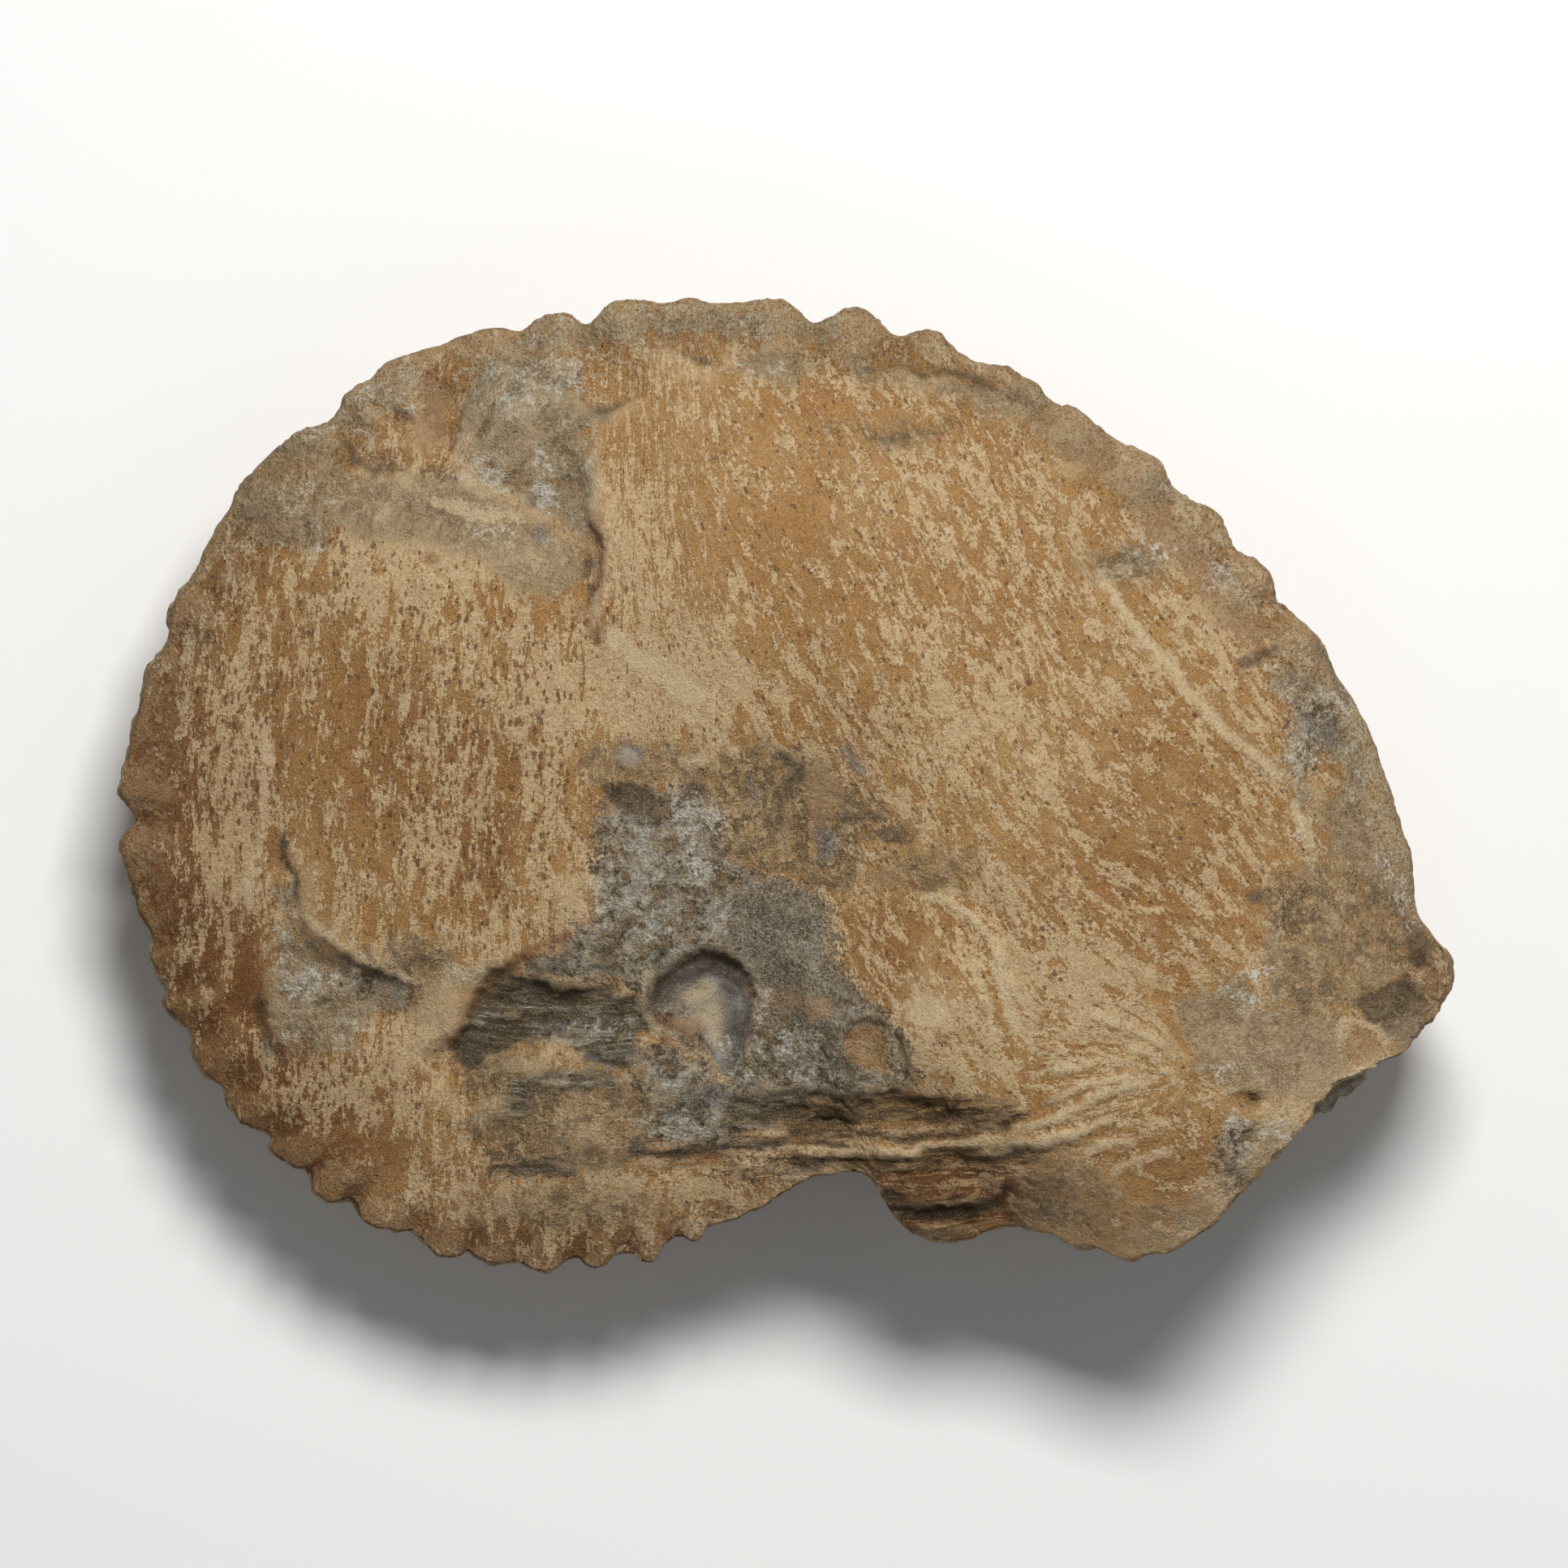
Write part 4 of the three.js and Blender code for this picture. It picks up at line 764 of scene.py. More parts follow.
# Dark lines, mostly painted shade with some dark dirt: along the ledges, in the grooves, under the pit's
# upper rim and in small holes.
draw("shade_and_dirt", patches=[
    [(-33.3, -25.7), (-32.3, -24.8), (-31.2, -25.9), (-29, -26.7), (-28.5, -26.6), (-29.5, -27.7),
     (-31.3, -27.9), (-32.4, -27.1)],
], lines=[
    ([(-49.4, -5.1), (-48.6, -6.9), (-48, -9), (-47.7, -10.7)], 0.3),
    ([(-47.2, -14.7), (-45.9, -17.1), (-42.9, -18.4)], 0.25), ([(-41.1, -16.2), (-40.6, -17.4)], 0.3),
    ([(-38.7, -13.9), (-38.6, -15.9), (-37.3, -17.8), (-36.2, -19.2)], 0.25),
    ([(-26.1, -19.7), (-21.3, -19.8), (-19.4, -20.4)], 0.35),
    ([(-19, -20.1), (-17.1, -20.2), (-16, -21), (-14.1, -21.2)], 0.35),
    ([(-29.1, -23.3), (-25.3, -23.2), (-22.7, -22.8)], 0.35),
    ([(-26.9, -17.9), (-29, -19.8), (-30.6, -22.1), (-32, -24.5)], 0.3),
    ([(-18.9, -26.4), (-17.4, -26.7), (-15.7, -27.6)], 0.3), ([(-19.2, -17.8), (-16.6, -18.2)], 0.25),
    ([(-4.9, -30.9), (-1.3, -30.4), (2.7, -30.1), (6.7, -30.2)], 0.25),
    ([(8.2, -30.3), (11.5, -30.3), (15.2, -30.7)], 0.25),
    ([(-5.3, -32.6), (-2.1, -32), (2.7, -31.4)], 0.25),
    ([(6.7, -34.1), (12.3, -34.6), (17.1, -34.5)], 0.22), ([(-29.3, -38.1), (-24.9, -37.1)], 0.2),
    ([(-18.5, 25.3), (-17.8, 22.5), (-18, 20.6)], 0.25), ([(-19, 19.3), (-18.5, 17.7)], 0.3),
    ([(-18.2, 15.5), (-18.2, 13.9)], 0.3), ([(0.5, 0.3), (1.9, 1.3)], 0.3),
    ([(-6.6, -5.6), (-5.9, -6.9), (-3.3, -6.3)], 0.2), ([(45.4, -30.6), (46.3, -31)], 0.3),
    ([(6.7, -23.2), (8.3, -22.9), (10.1, -23.4)], 0.25), ([(11.2, -24.7), (12.1, -26.7), (12.4, -29)], 0.2),
    ([(-17.9, 0.2), (-15.3, 0), (-13.1, -0.3)], 0.2), ([(62.3, -14.4), (63.8, -15.8)], 0.4),
    ([(53.8, -29.5), (53, -30.7)], 0.25),
    ([(-13, -21.9), (-12.7, -20.5), (-11.9, -19), (-10.7, -17.9), (-9.3, -17.1), (-7.5, -16.6),
      (-5.8, -17), (-4.5, -17.8)], 0.7),
    ([(-12, -21.6), (-11.2, -19.8), (-9.4, -18.4), (-7.2, -17.9), (-5.4, -18.6), (-4.3, -19.8)], 0.45),
    ([(-18.2, 36.9), (-16.5, 37.3)], 0.25),
] + [(line, min(WIDEST_GROOVE_SHADE, GROOVE_SHADE * half)) for line, _, half in GROOVES], spots=[
    (45.8, -30.7, 0.5, 0.45), (-27.7, -24.2, 0.8, 0.5), (-26.5, -30.7, 0.5, 0.8), (51.1, -21.9, 0.5, 0.5),
])
EXACT_LAYERS = ("rust", "pearl", "milk", "amber")  # drawn where they say, the others as warped() moves them
# More or less cream film over the ochre: place, half sizes, weight.
FILM = [
    (-13.3, 10.1, 11, 6, 0.9), (-32.5, 25.3, 14, 6, 0.8), (-14.1, 21.3, 4, 9, 0.5),
    (-44.5, -30.7, 8, 4, 0.5), (-0.5, 26.1, 10, 14, -0.45), (13.1, -17.1, 7, 7, -0.25),
    (-42.9, 2.9, 8, 12, -0.3), (33.9, -4.3, 9, 12, -0.25), (-24.5, 5.3, 4, 10, 0.5),
    (-21.3, -40.3, 14, 5, 0.4), (26.7, -18.7, 9, 6, 0.6), (41.1, 26.1, 8, 6, 0.4),
    (-50.9, -40.3, 14, 9, -0.5), (-63.3, -2.7, 3.5, 20, -0.6), (-5.3, 7.7, 5, 4, 0.5),
    (15.5, -25.9, 6, 5, 0.4), (-56.5, 11.7, 5, 5, 0.3), (-34.9, 18.9, 9, 4, 0.4),
    (30.7, -41.1, 12, 6, -0.4), (37.9, -34.7, 6, 6, -0.4), (21.1, 29.3, 9, 6, 0.1), (14.7, 5.3, 6, 6, 0.2),
    (-53.3, -5.1, 2.5, 12, 0.5), (-55.7, -12.3, 4, 6, 0.3), (10.7, 16.5, 8, 8, -0.1),
    (22.7, 6.9, 9, 9, 0.25), (-34.9, -3.5, 4, 8, 0.35), (-21.3, -9.9, 3, 5, 0.4),
    (-13.3, 34.1, 3.5, 5, -0.3), (-26.1, -2.7, 2.5, 5, -0.3), (41.1, 0.5, 5, 8, -0.2),
    (58.7, -2.7, 3, 8, 0.3), (-39.7, -37.1, 5, 4, -0.3), (16.3, 38.9, 9, 2, 0.3),
    (-37.3, -24.7, 6, 3, 0.6), (9.1, -40.3, 6, 3, -0.2), (42.7, 16.5, 5, 4, 0.5),
    (-53.3, -17.9, 3, 7, -0.7), (37.9, 35.7, 8, 5, 0.2),
]
# Where the ochre is browner, and where painted shade darkens the stone, most of all towards the lower and
# left edges.
BROWN_AND_SHADE = [
    (-45.3, 5.3, 10, 20, 0.4), (-31.7, 0.5, 9, 12, 0.5), (-62.9, -2.7, 7, 24, 1.1),
    (-54.1, -1.1, 5, 14, 0.5), (12.3, -17.1, 6, 8, 0.3), (-50.9, -37.1, 14, 10, 1.3),
    (-24.5, -45, 20, 3.5, 1.2), (34.7, -4.3, 9, 12, 0.4), (7.5, 5.3, 5, 4, 0.3), (10.7, -16.3, 5, 5, 0.3),
    (38.7, -38.7, 10, 6, 0.5), (-48.9, 30.1, 5, 6, 0.7), (21.1, 38.5, 4, 2.5, 0.6), (47.5, 8.5, 5, 8, 0.2),
    (63.5, -17.9, 4, 6, 0.9), (-57.3, 21.3, 8, 8, 0.5), (1.1, -40.3, 8, 3, 0.5), (22.7, 29.3, 10, 8, -0.3),
    (-29.3, -7.5, 3, 7, 0.5), (16.3, -33.1, 8, 3, 0.8), (-53.3, -18.7, 3, 8, 0.9),
    (-0.5, 44.9, 22, 4, 0.2), (-37.3, -29.1, 4, 3, 0.5), (-58.9, -21.1, 6, 12, 1.3),
    (15.9, -41.3, 9, 5, 2.4), (-53.3, -29.1, 8, 8, 1),
]
# Where tiny brown pits crowd.
PITS = [
    (-32.5, 0.5, 11, 12, 1), (-35.7, 13.3, 14, 8, 0.6), (-27.7, -7.5, 8, 8, 1), (-42.9, -29.1, 8, 5, 1),
    (-53.3, 5.3, 7, 14, 1), (-16.5, 16.5, 5, 4, 1), (-43.7, 22.1, 6, 4, 1), (-29.3, 9.3, 10, 9, 1),
    (-26.1, 1.3, 6, 8, 1),
]
# Where the grey matrix is smooth and even.
CALM = [(2.7, -17.5, 5.5, 8, 1), (-1.4, -13.9, 4, 4, 1)]
FAN_AT = (40.2, -28.2)  # where the ridges of the lower right meet
FAR_OUT = -8.0  # a layer's value well outside it
WALL_FADE, UNDER_FADE = 1.5, 16  # what a layer loses a ring down the wall, and on the under side
TORN_GAIN, TORN_START = 5, 3.2  # the matrix shows on a wall that is torn by more than 3.2 / 5
SOFT_EDGE, SOFT_CORE = 1.4, 0.3  # a soft spot fades between these shares of its half sizes


def inside_layer(patches, lines, spots, x, y):
    """Millimetres inside the nearest shape, under zero outside."""
    d = np.full(x.shape, FAR_OUT)
    for rim in patches:
        d = np.maximum(d, depth_in(rim, x, y))
    for line, half in lines:
        d = np.maximum(d, half - beside(line, x, y)[0])
    for spot in spots:
        d = np.maximum(d, (1 - from_spot(x, y, *spot)) * min(spot[2:]))
    return d


def sum_of(spots, x, y):
    """Soft spots added up, each by its weight."""
    return sum(weight * smooth(SOFT_EDGE, SOFT_CORE, from_spot(x, y, *spot)) for *spot, weight in spots)


x, y, z = verts.T
drawn_x, drawn_y = warped(x, y)
ring_of = np.append(np.repeat(np.arange(len(rings)), np.diff(starts)), [0, len(rings) - 1])
on_top, on_under = ring_of < first_wall, ring_of > last_wall
on_wall = ~(on_top | on_under)
torn = np.zeros(len(verts))
for k in range(first_wall, last_wall + 1):
    level = (k - first_wall) / WALL_LEVELS
    torn[starts[k] : starts[k + 1]] = edge["broken"][:, 0] * math.sin(math.pi * level) ** 0.5
fading = np.where(on_wall, WALL_FADE * (ring_of - first_wall), np.where(on_under, UNDER_FADE, 0))
masks = {}
for name, shapes in LAYERS.items():
    at = (x, y) if name in EXACT_LAYERS else (drawn_x, drawn_y)
    masks[name] = np.maximum(inside_layer(*shapes, *at) - fading, FAR_OUT)
torn_matrix = np.maximum(masks["matrix"], torn * TORN_GAIN - TORN_START)
masks["matrix"] = np.where(on_wall, torn_matrix, masks["matrix"])

# Directions of the grain, in degrees: 92 down the left flank, 64 to the lower right, 50 at the right.
turn = np.radians(lerp(92, 64, smooth(-19, -5, x)) - 14 * smooth(15, 45, x))
across = x * np.sin(turn) + y * np.cos(turn)
along = y * np.sin(turn) - x * np.cos(turn)
# The fan runs to its meeting point, and the strata lie level.
fan_x, fan_y = FAN_AT[0] - x, FAN_AT[1] - y
fan_far = np.hypot(fan_x, fan_y)
fan = smooth(19, 14, fan_far) * smooth(-0.5, 2.5, fan_x) * smooth(6.5, 4.0, np.abs(fan_y + 1.5)) * on_top
fan_across = np.arctan2(fan_y, fan_x) * (9 + 0.35 * fan_far)
layered = np.maximum(masks["strands"], masks["recess"])
strata = smooth(-1.5, 1.0, layered) + smooth(1.2, 0.8, from_spot(x, y, 10, -36, 22, 3.4))
strata = np.where(on_wall, 1.0, np.clip(strata, 0, 1) * on_top)
dip = 0.06 * np.sin(0.16 * x + 1.2) * x
ALONG_SCALE, UP_SCALE = 0.26, 0.5  # under 1 where the noise is drawn out
GRAINS = {  # across, along and up
    "grain": np.column_stack([across, along * ALONG_SCALE, z * UP_SCALE]),
    "fan": np.column_stack([fan_across, fan_far * ALONG_SCALE, z * UP_SCALE]),
    "strata": np.column_stack([np.where(on_wall, z * 1.7, y * 1.7 + dip), (x + y * on_wall) * 0.22, 0 * x]),
}

# Uneven ground: broken stone is rough, the rest follows its grain.
SWELL, RIPPLE, RAGGED = 0.16, 0.07, 0.36
RIM_SHARE = 0.16  # share of the way in over which the rim's paint and roughness fade
REST_BAND = 0.4  # the under side stays even up to this height
HOLLOW_STEPS = (5, 40)  # narrow and wide hollows, by how often the points are relaxed
RELIEF_ALONG = {"grain": 0.05, "fan": 0.14, "strata": 0.26}
rough = smooth(-1.5, 1.0, masks["matrix"]) * 0.8 + 0.9 * smooth(-1.0, 1.5, masks["ash"])
rough += 0.9 * smooth(-0.6, 0.8, layered) + 0.45 * smooth(-0.5, 1.5, masks["speckle"])
rim = smooth(0.85, 0.2, field(x, y)[0] / RIM_SHARE) * on_top
rough = np.maximum(np.clip(rough, 0, 1), np.maximum(torn, 0.7 * np.where(on_wall, 1, rim)))
rough *= 1 - smooth(-0.4, 0.4, masks["pearl"])
ragged = cloud(verts, 2.6, 5, 7.0, 0.75) + 0.5 * np.abs(cloud(verts, 1.3, 3, 17.0))
share_of = {"grain": 1, "fan": fan, "strata": strata}
height = SWELL * cloud(verts, 9.0, 3) + RIPPLE * cloud(verts, 2.4, 4, 2.0) + RAGGED * rough * (ragged - 0.2)
height += sum(RELIEF_ALONG[name] * share_of[name] * cloud(GRAINS[name], 1.3, 3, 3.0) for name in GRAINS)
height *= np.where(on_under & (z < REST_BAND), 0.0, 1.0)  # the face it rests on stays flat
verts = verts + normals(verts) * height[:, None]
verts[:, 2] = np.maximum(verts[:, 2], 0)
near, wide = [((relaxed(verts, times) - verts) * normals(verts)).sum(1) for times in HOLLOW_STEPS]

mesh = bpy.data.meshes.new("ammonite_stone")
mesh.from_pydata((verts * 0.001).tolist(), [], faces.tolist())
mesh.polygons.foreach_set("use_smooth", np.ones(len(faces), bool))
values = {
    **masks,
    "film": sum_of(FILM, drawn_x, drawn_y) * on_top,
    "brown_and_shade": sum_of(BROWN_AND_SHADE, drawn_x, drawn_y) * on_top,
    "pits": clamp01(sum_of(PITS, x, y)) * on_top,
    "calm": clamp01(sum_of(CALM, drawn_x, drawn_y)),
    "rim": np.where(on_wall, 1.0, rim),
    "under": on_under,
    "rough": rough,
    "fan_share": fan,
    "strata_share": strata,
    "cavity": near + 0.5 * wide,
}
for name, data in values.items():
    attribute = mesh.attributes.new(name, "FLOAT", "POINT")
    attribute.data.foreach_set("value", np.asarray(data, np.float32))
for name, data in GRAINS.items():
    attribute = mesh.attributes.new(name, "FLOAT_VECTOR", "POINT")
    attribute.data.foreach_set("vector", data.astype(np.float32).ravel())
stone = bpy.data.objects.new("ammonite_stone", mesh)
bpy.context.collection.objects.link(stone)
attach(stone, "root")
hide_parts("ammonite")


# ---- materials ----------------------------------------------------------------------------------
def rgb(*eight_bit):
    """Linear colour of an sRGB one given in 0 to 255."""
    shares = [v / 255 for v in eight_bit]
    return tuple(c / 12.92 if c <= 0.04045 else ((c + 0.055) / 1.055) ** 2.4 for c in shares) + (1,)


class Nodes:
    """Short ways of adding shader nodes: each method returns an output socket."""

    def __init__(self, name):
        self.material = bpy.data.materials.new(name)
        self.material.use_nodes = True
        self.tree = self.material.node_tree
        self.shader = self.tree.nodes["Principled BSDF"]

    def set(self, socket, value):
        if isinstance(value, bpy.types.NodeSocket):
            self.tree.links.new(value, socket)
        else:
            socket.default_value = value

    def add(self, kind, inputs, output=0, **settings):
        node = self.tree.nodes.new(kind)
        for key, value in settings.items():
            setattr(node, key, value)
        for key, value in inputs.items():
            self.set(node.inputs[key], value)
        return node.outputs[output]

    def math(self, operation, a, b=0.0, c=0.0):
        return self.add("ShaderNodeMath", {0: a, 1: b, 2: c}, operation=operation)

    def times(self, a, b):
        return self.math("MULTIPLY", a, b)

    def plus(self, value, factor, more):
        """value * factor + more"""
        return self.math("MULTIPLY_ADD", value, factor, more)

    def weighted(self, *pairs):
        """Sum of each (socket, weight)."""
        total = self.times(*pairs[0])
        for socket, weight in pairs[1:]:
            total = self.plus(socket, weight, total)
        return total

    def step(self, value, start, end):
        """0 to 1 as value goes from start to end, eased."""
        inputs = {"Value": value, "From Min": start, "From Max": end}
        return self.add("ShaderNodeMapRange", inputs, interpolation_type="SMOOTHSTEP")

    def near(self, value, middle, outer, inner):
        """0 to 1 as value comes from `outer` to `inner` away from the middle."""
        return self.step(self.math("ABSOLUTE", self.math("SUBTRACT", value, middle)), outer, inner)

    def noise(self, vector, scale, detail, rough=0.6, warp=0.0):
        inputs = {"Vector": vector, "Scale": scale, "Detail": detail, "Roughness": rough, "Distortion": warp}
        return self.add("ShaderNodeTexNoise", inputs)

    def tones(self, value, low, high, *colours):
        """Colours from dark to light, spread evenly as value goes from low to high."""
        node = self.tree.nodes.new("ShaderNodeValToRGB")
        stops = node.color_ramp.elements
        for i, colour in enumerate(colours):
            stop = stops[i] if i < 2 else stops.new(1.0)
            stop.position = low + (high - low) * i / (len(colours) - 1)
            stop.color = rgb(*colour)
        self.set(node.inputs[0], value)
        return node.outputs[0]

    def mix(self, share, a, b, blend="MIX"):
        """Colours a to b. A Mix node's sockets 0, 6 and 7 are its share and its two colours."""
        node = self.tree.nodes.new("ShaderNodeMix")
        node.data_type, node.blend_type = "RGBA", blend
        for key, value in ((0, share), (6, a), (7, b)):
            self.set(node.inputs[key], value)
        return node.outputs[2]

    def between(self, share, dark, light):
        return self.mix(share, rgb(*dark), rgb(*light))

    def cover(self, colour, share, amount, over):
        return self.mix(self.times(share, amount), colour, over)

    def tinted(self, colour, *tints):
        """Each tint over the colour: its noise, where that starts and is whole, its amount, its colour."""
        for value, start, end, amount, tint in tints:
            colour = self.cover(colour, self.step(value, start, end), amount, rgb(*tint))
        return colour

    def value_of(self, name):
        return self.add("ShaderNodeAttribute", {}, "Fac", attribute_name=name)

    def vector_of(self, name):
        return self.add("ShaderNodeAttribute", {}, "Vector", attribute_name=name)

    def scaled(self, vector, by):
        return self.add("ShaderNodeVectorMath", {0: vector, 1: by}, operation="MULTIPLY")


lime = Nodes("limestone")
mm = lime.scaled(lime.add("ShaderNodeTexCoord", {}, "Object"), (1000, 1000, 1000))
# Noises from wide to fine: lumps a millimetre, detail, roughness.
broad = lime.noise(mm, 0.07, 2)
patchy = lime.noise(mm, 0.4, 5, 0.68)
wander = lime.noise(mm, 0.42, 4, 0.66, 0.6)
hue = lime.noise(mm, 0.63, 3, 0.7)
medium = lime.noise(mm, 1.1, 4, 0.72)
fine = lime.noise(mm, 3.0, 3, 0.75)
grit = lime.noise(mm, 7.5, 2, 0.8)
fray = lime.weighted((patchy, 0.34), (medium, 0.34), (fine, 0.32))
stony = lime.weighted((patchy, 0.4), (medium, 0.36), (fine, 0.24))
along_grain = lime.vector_of("grain")
for name in ("fan", "strata"):
    here = lime.math("GREATER_THAN", lime.plus(fray, 4.0, lime.value_of(name + "_share")), 2.5)
    along_grain = lime.mix(here, along_grain, lime.vector_of(name))
streak = lime.noise(along_grain, 0.75, 5, 0.74, 0.5)
dash = lime.noise(along_grain, 2.2, 3, 0.78, 0.3)
strand = lime.weighted((streak, 0.6), (dash, 0.4))
rim_share, brown_and_shade, cavity = lime.value_of("rim"), lime.value_of("brown_and_shade"), lime.value_of("cavity")
# Share of the cream film: painted shadow darkens the ochre round the flakes of film from the lowest level
# below, and the film is whole at FILM_END.
film_sum = lime.weighted(
    (streak, 0.5), (dash, 0.2), (medium, 0.14), (fine, 0.16),
    (lime.value_of("film"), 0.07), (rim_share, -0.03),
)
FLAKE_SHADOW_START, FILM_START, FILM_END = 0.46, 0.489, 0.52
film = lime.step(film_sum, FILM_START, FILM_END)


def shows(name, reach, soft):
    """Where a layer shows: its edge is frayed over about `reach` mm and soft over `soft` mm."""
    frayed = lime.plus(lime.math("SUBTRACT", fray, 0.5), reach * 8, lime.value_of(name))
    return lime.step(frayed, -soft, soft)


def ochre_stone():
    """Ochre, browner where the brown tone says, with darker dashes and specks, and painted shadow round the
    cream flakes.
    """
    brown = lime.step(lime.weighted((brown_and_shade, 0.6), (patchy, 2.0), (medium, 1.2)), 1.25, 2.4)
    ochre = lime.mix(lime.step(broad, 0.38, 0.62), rgb(172, 126, 66), rgb(186, 144, 84))
    ochre = lime.cover(ochre, brown, 0.85, rgb(144, 96, 50))
    return lime.tinted(
        ochre,
        (medium, 0.52, 0.64, 0.5, (196, 154, 96)),
        (dash, 0.46, 0.36, 0.45, (132, 88, 46)),
        (fine, 0.46, 0.37, 0.5, (118, 78, 42)),
        # painted shadow round the cream flakes
        (film_sum, FLAKE_SHADOW_START, FILM_START - 0.001, 0.35, (122, 82, 42)),
    )


def cream_film():
    return lime.tinted(
        lime.between(lime.step(medium, 0.4, 0.62), (190, 159, 115), (209, 180, 136)),
        (hue, 0.48, 0.64, 0.45, (202, 162, 122)),
        (fine, 0.52, 0.62, 0.5, (230, 208, 172)),
        (fine, 0.45, 0.36, 0.5, (156, 120, 78)),
    )


def small_pits(colour):
    """Round pits along the grain, and a few black specks."""
    cells = {"Vector": lime.scaled(along_grain, (1.0, 2.0, 1.0)), "Scale": 1.45}
    far = lime.add("ShaderNodeTexVoronoi", cells)
    far = lime.weighted((far, 1.0), (lime.value_of("pits"), -0.115), (fine, 0.4), (hue, -0.9))
    pit_brown = lime.between(fine, (66, 40, 22), (126, 80, 44))
    colour = lime.cover(colour, lime.step(far, -0.06, -0.14), 0.8, pit_brown)
    speck = lime.step(lime.weighted((hue, 1.0), (fine, 1.0)), 1.26, 1.3)
    return lime.cover(colour, speck, 0.8, rgb(62, 48, 34))


def ash_stone():
    ash = [(98, 80, 56), (142, 124, 94), (162, 146, 114), (174, 160, 130), (208, 198, 178)]
    return lime.tinted(lime.tones(stony, 0.42, 0.59, *ash), (hue, 0.48, 0.62, 0.6, (172, 140, 102)))


def grey_matrix():
    """Cloudy grey stone, smooth and even where it is calm."""
    greys = [(54, 44, 30), (110, 97, 76), (146, 137, 118), (162, 155, 140), (186, 178, 160), (226, 219, 204)]
    cloudy = lime.tinted(
        lime.tones(stony, 0.43, 0.585, *greys),
        (patchy, 0.52, 0.62, 0.45, (170, 164, 150)),
        (patchy, 0.47, 0.38, 0.4, (96, 80, 54)),
        (hue, 0.5, 0.6, 0.45, (158, 126, 84)),
    )
    grain = lime.math("ADD", lime.weighted((fine, 0.5), (grit, 0.25)), 0.125)
    even_greys = [(70, 60, 42), (112, 102, 82), (138, 130, 110), (168, 160, 142)]
    return lime.cover(cloudy, lime.value_of("calm"), 0.75, lime.tones(grain, 0.43, 0.58, *even_greys))


def recess_stone():
    dark = [(34, 28, 16), (72, 62, 42), (98, 90, 72), (122, 116, 104), (178, 172, 156)]
    return lime.tinted(lime.tones(strand, 0.42, 0.59, *dark), (hue, 0.52, 0.66, 0.6, (104, 82, 42)))


def strand_stone():
    browns = [(40, 32, 16), (84, 64, 34), (122, 94, 50), (156, 118, 66), (190, 160, 112)]
    return lime.tones(strand, 0.42, 0.6, *browns)


def frayed_stone(*colours):
    return lime.tones(fray, 0.42, 0.58, *colours)


colour = small_pits(lime.cover(ochre_stone(), film, 0.88, cream_film()))
colour = lime.cover(colour, lime.times(rim_share, lime.step(medium, 0.5, 0.6)), 0.5, rgb(206, 184, 150))

# Layers over it, from the widest to the smallest.
ash, matrix, speckle = shows("ash", 2.0, 0.9), shows("matrix", -2.6, 0.7), shows("speckle", 1.2, 0.8)
branch = lime.times(shows("branches", 1.5, 0.8), lime.near(wander, 0.5, 0.045, 0.018))
crack = lime.times(
    lime.math("MAXIMUM", lime.math("MAXIMUM", matrix, ash), lime.value_of("strata_share")),
    lime.near(medium, 0.48, 0.012, 0.003),
)
chalk = lime.times(shows("chalk", 1.5, 0.8), lime.step(medium, 0.43, 0.56))
umber_share = lime.step(fray, 0.42, 0.58)
plain_tones = [(118, 99, 68), (143, 123, 90), (157, 137, 103), (180, 161, 127)]
pearl_tones = [(104, 98, 92), (128, 124, 118), (150, 146, 138)]
for here, amount, over in (
    (shows("plain", 1.1, 0.8), 0.8, frayed_stone(*plain_tones)),
    (speckle, 0.5, frayed_stone((124, 102, 70), (152, 127, 90), (182, 156, 118))),
    (lime.times(speckle, lime.step(hue, 0.5, 0.57)), 0.6, rgb(104, 90, 64)),
    (ash, 0.84, ash_stone()),
    (matrix, 0.94, grey_matrix()),
    (branch, 0.75, lime.between(fine, (60, 46, 24), (108, 84, 46))),
    (shows("recess", 0.9, 0.5), 0.9, recess_stone()),
    (shows("strands", 0.9, 0.6), 0.9, strand_stone()),
    (crack, 0.35, rgb(56, 44, 28)),
    (shows("rust", 0.5, 0.4), 0.7, lime.between(fine, (92, 50, 26), (160, 100, 54))),
    (shows("amber", 0.5, 0.5), 0.7, lime.between(fine, (146, 102, 50), (196, 146, 80))),
    (shows("pearl", 0.2, 0.4), 0.92, lime.tones(patchy, 0.4, 0.6, *pearl_tones)),
    # blue-grey stone, with painted shadow in the pit
    (shows("slate_and_pit_shadow", 0.5, 0.6), 0.75, frayed_stone((72, 66, 60), (108, 104, 98), (152, 150, 144))),
    (shows("milk", 0.25, 0.8), 0.85, lime.between(medium, (184, 158, 122), (206, 190, 160))),
    (shows("blush", 0.6, 0.6), 0.7, lime.between(medium, (146, 112, 76), (188, 154, 112))),
    (shows("umber", 0.7, 0.4), 0.85, lime.between(umber_share, (54, 43, 32), (104, 87, 65))),
    (chalk, 0.75, lime.between(lime.step(fine, 0.4, 0.6), (176, 166, 146), (228, 222, 208))),
    (shows("cream", 0.5, 0.4), 0.8, lime.between(fine, (188, 160, 118), (228, 206, 168))),
    # painted shade with some dirt, along ledges and grooves
    (shows("shade_and_dirt", 0.5, 0.3), 0.75, lime.between(lime.step(fine, 0.36, 0.64), (44, 36, 20), (92, 76, 48))),
):
    colour = lime.cover(colour, here, amount, over)

# Dirt and painted shade in hollows, wear and painted highlight on convex edges, painted shade near the rim,
# grit, the under side, and painted shade where the brown tone is strong.
colour = lime.tinted(colour, (cavity, 0.14, 1.2, 0.4, (70, 54, 32)))
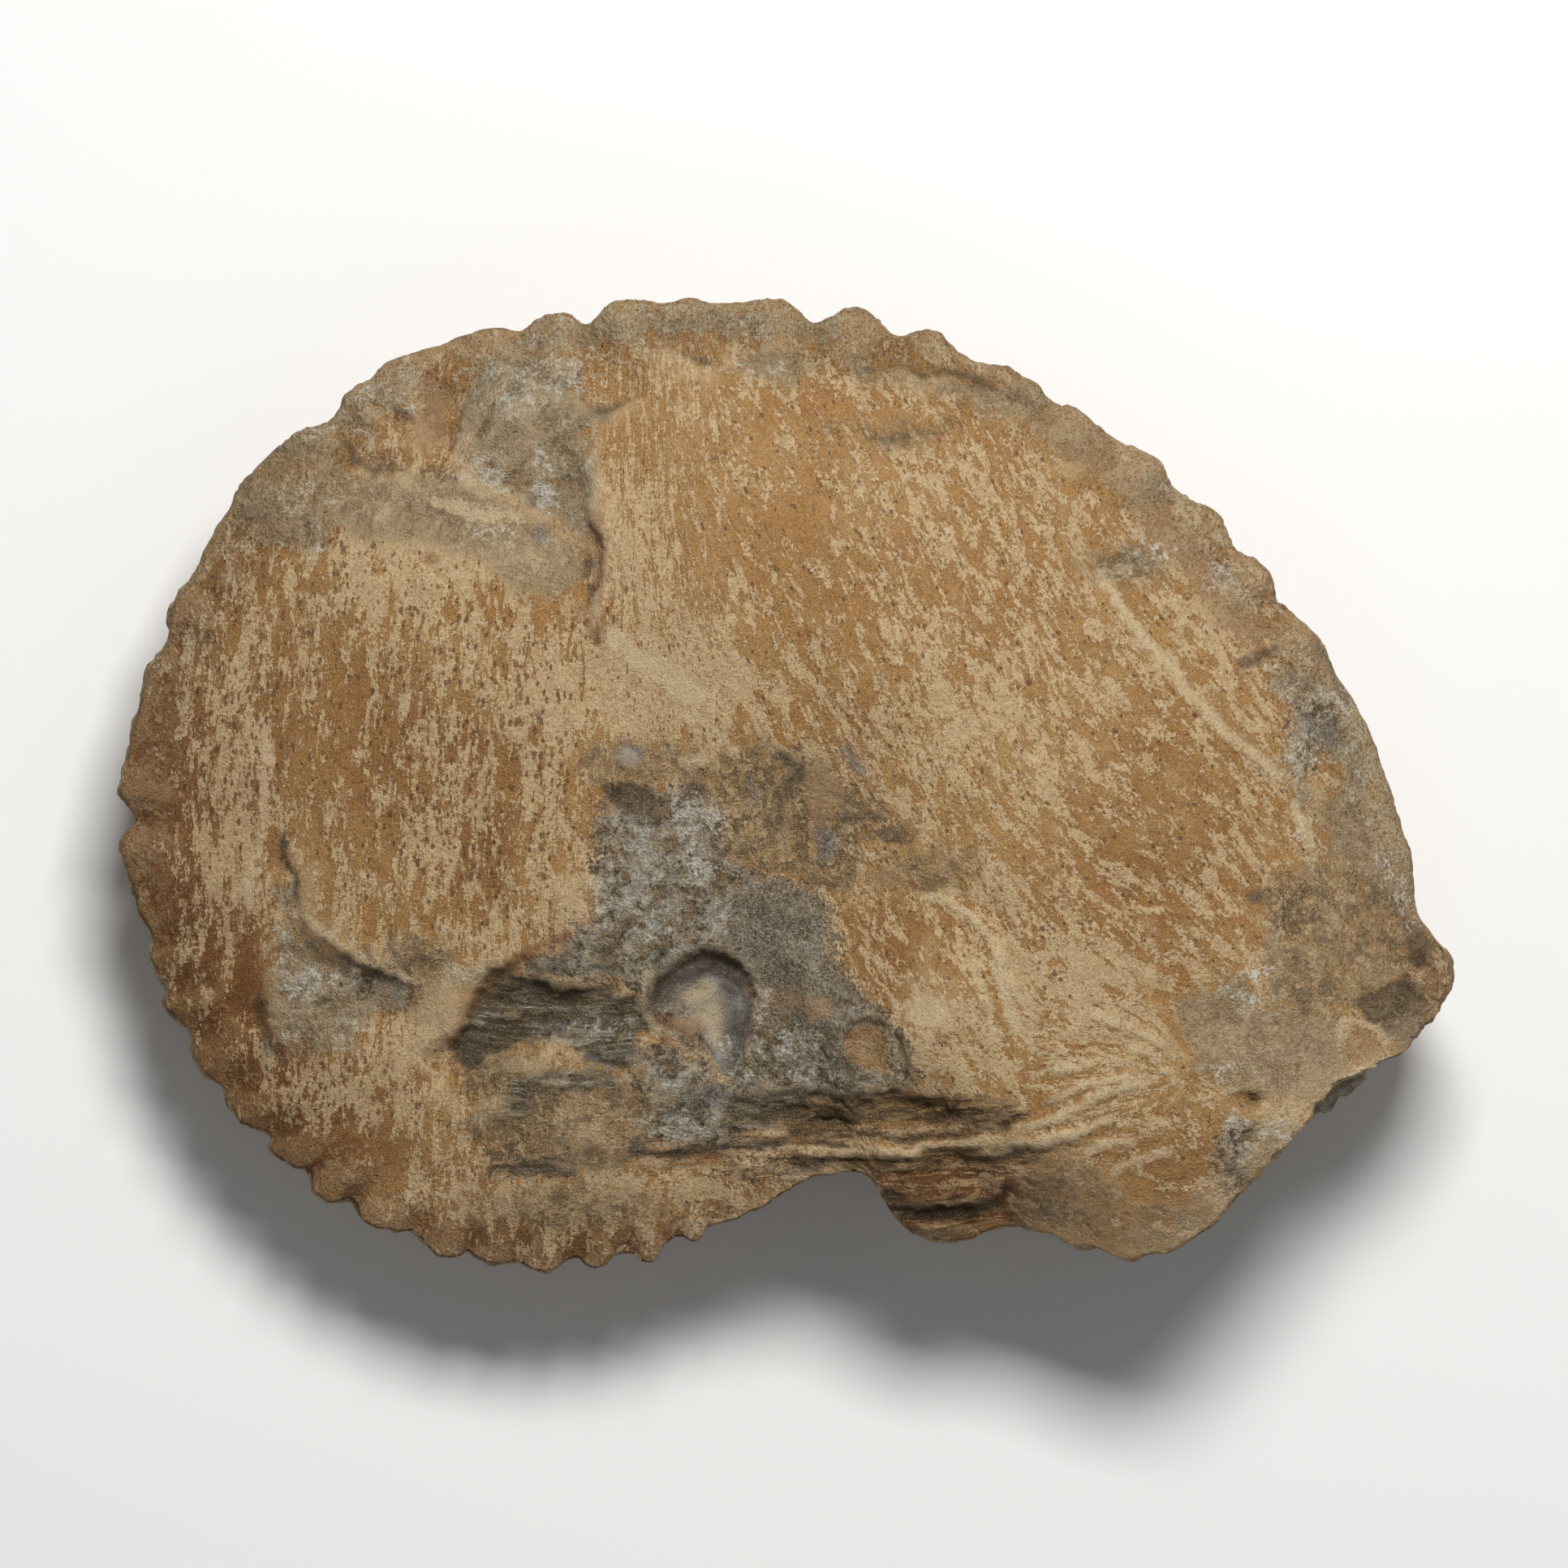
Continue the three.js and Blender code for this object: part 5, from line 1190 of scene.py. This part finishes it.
# Wear and painted highlight: paler on convex edges, less so on the grey matrix.
edge_wear_and_highlight = lime.times(lime.step(cavity, -0.04, -0.3), lime.plus(matrix, -0.7, 1.0))
colour = lime.cover(colour, edge_wear_and_highlight, 0.3, rgb(220, 194, 152))
# Partly the stone's browner edge, partly painted shade: darker brown flecks near the rim and on the wall,
# where the edge falls into shade.
colour = lime.cover(colour, lime.times(rim_share, lime.step(fine, 0.48, 0.4)), 0.5, rgb(88, 68, 44))
colour = lime.tinted(
    colour,
    (grit, 0.54, 0.68, 0.4, (232, 214, 182)),
    (grit, 0.47, 0.34, 0.45, (74, 54, 34)),
)
colour = lime.cover(colour, lime.value_of("under"), 0.35, rgb(144, 116, 78))
# Painted shade: darker where the brown tone is strong, most at the lower and left edges, less where the cream
# film lies.
painted_falloff_shade = lime.times(brown_and_shade, lime.plus(film, -0.4, 0.62))
colour = lime.mix(painted_falloff_shade, colour, rgb(206, 188, 160), "MULTIPLY")
lime.set(lime.shader.inputs["Base Color"], colour)
lime.set(lime.shader.inputs["Roughness"], lime.plus(fine, 0.25, 0.68))
lime.shader.inputs["Specular IOR Level"].default_value = 0.35

broken_bump = lime.times(lime.value_of("rough"), lime.weighted((medium, 1.2), (fine, 1.2)))
bump = {"Height": lime.weighted((medium, 0.7), (fine, 0.8), (grit, 0.6), (broken_bump, 1.0))}
bump.update(Strength=1.0, Distance=0.0004)
lime.set(lime.shader.inputs["Normal"], lime.add("ShaderNodeBump", bump))
mesh.materials.append(lime.material)

# ---- stage --------------------------------------------------------------------------------------
bpy.ops.mesh.primitive_plane_add(size=6, location=(0, 0, 0))
floor = bpy.context.object
floor.name = "floor"
paper = Nodes("pale_floor")
paper.shader.inputs["Base Color"].default_value = (0.8, 0.79, 0.77, 1)
paper.shader.inputs["Roughness"].default_value = 0.9
floor.data.materials.append(paper.material)

# Metres: the frame is FRAME_WIDTH wide at the height of the beaded edge, which is PLANE.
FRAME_WIDTH, LENS, SENSOR, PLANE = 0.15456, 300.0, 36.0, 0.021
camera = bpy.data.objects.new("camera", bpy.data.cameras.new("camera"))
camera.data.lens, camera.data.sensor_width = LENS, SENSOR
camera.location = (0, 0, PLANE + FRAME_WIDTH * LENS / SENSOR)
bpy.context.collection.objects.link(camera)
bpy.context.scene.camera = camera


def lamp(name, place, size, watts):
    """A soft lamp that shines at the stone."""
    light = bpy.data.lights.new(name, "AREA")
    light.shape, light.energy = "RECTANGLE", watts
    light.size, light.size_y = size
    obj = bpy.data.objects.new(name, light)
    obj.location = place
    obj.rotation_euler = (-Vector(place)).to_track_quat("-Z", "Y").to_euler()
    bpy.context.collection.objects.link(obj)


lamp("key", (0.07, 0.28, 0.57), (0.22, 0.16), 4.5)
lamp("fill", (0.3, -0.7, 1.0), (0.9, 0.9), 1.0)
world = bpy.data.worlds.new("studio")
world.use_nodes = True
world.node_tree.nodes["Background"].inputs["Color"].default_value = (0.95, 0.97, 1, 1)
world.node_tree.nodes["Background"].inputs["Strength"].default_value = 0.17
bpy.context.scene.world = world
bpy.context.scene.view_settings.view_transform = "Standard"
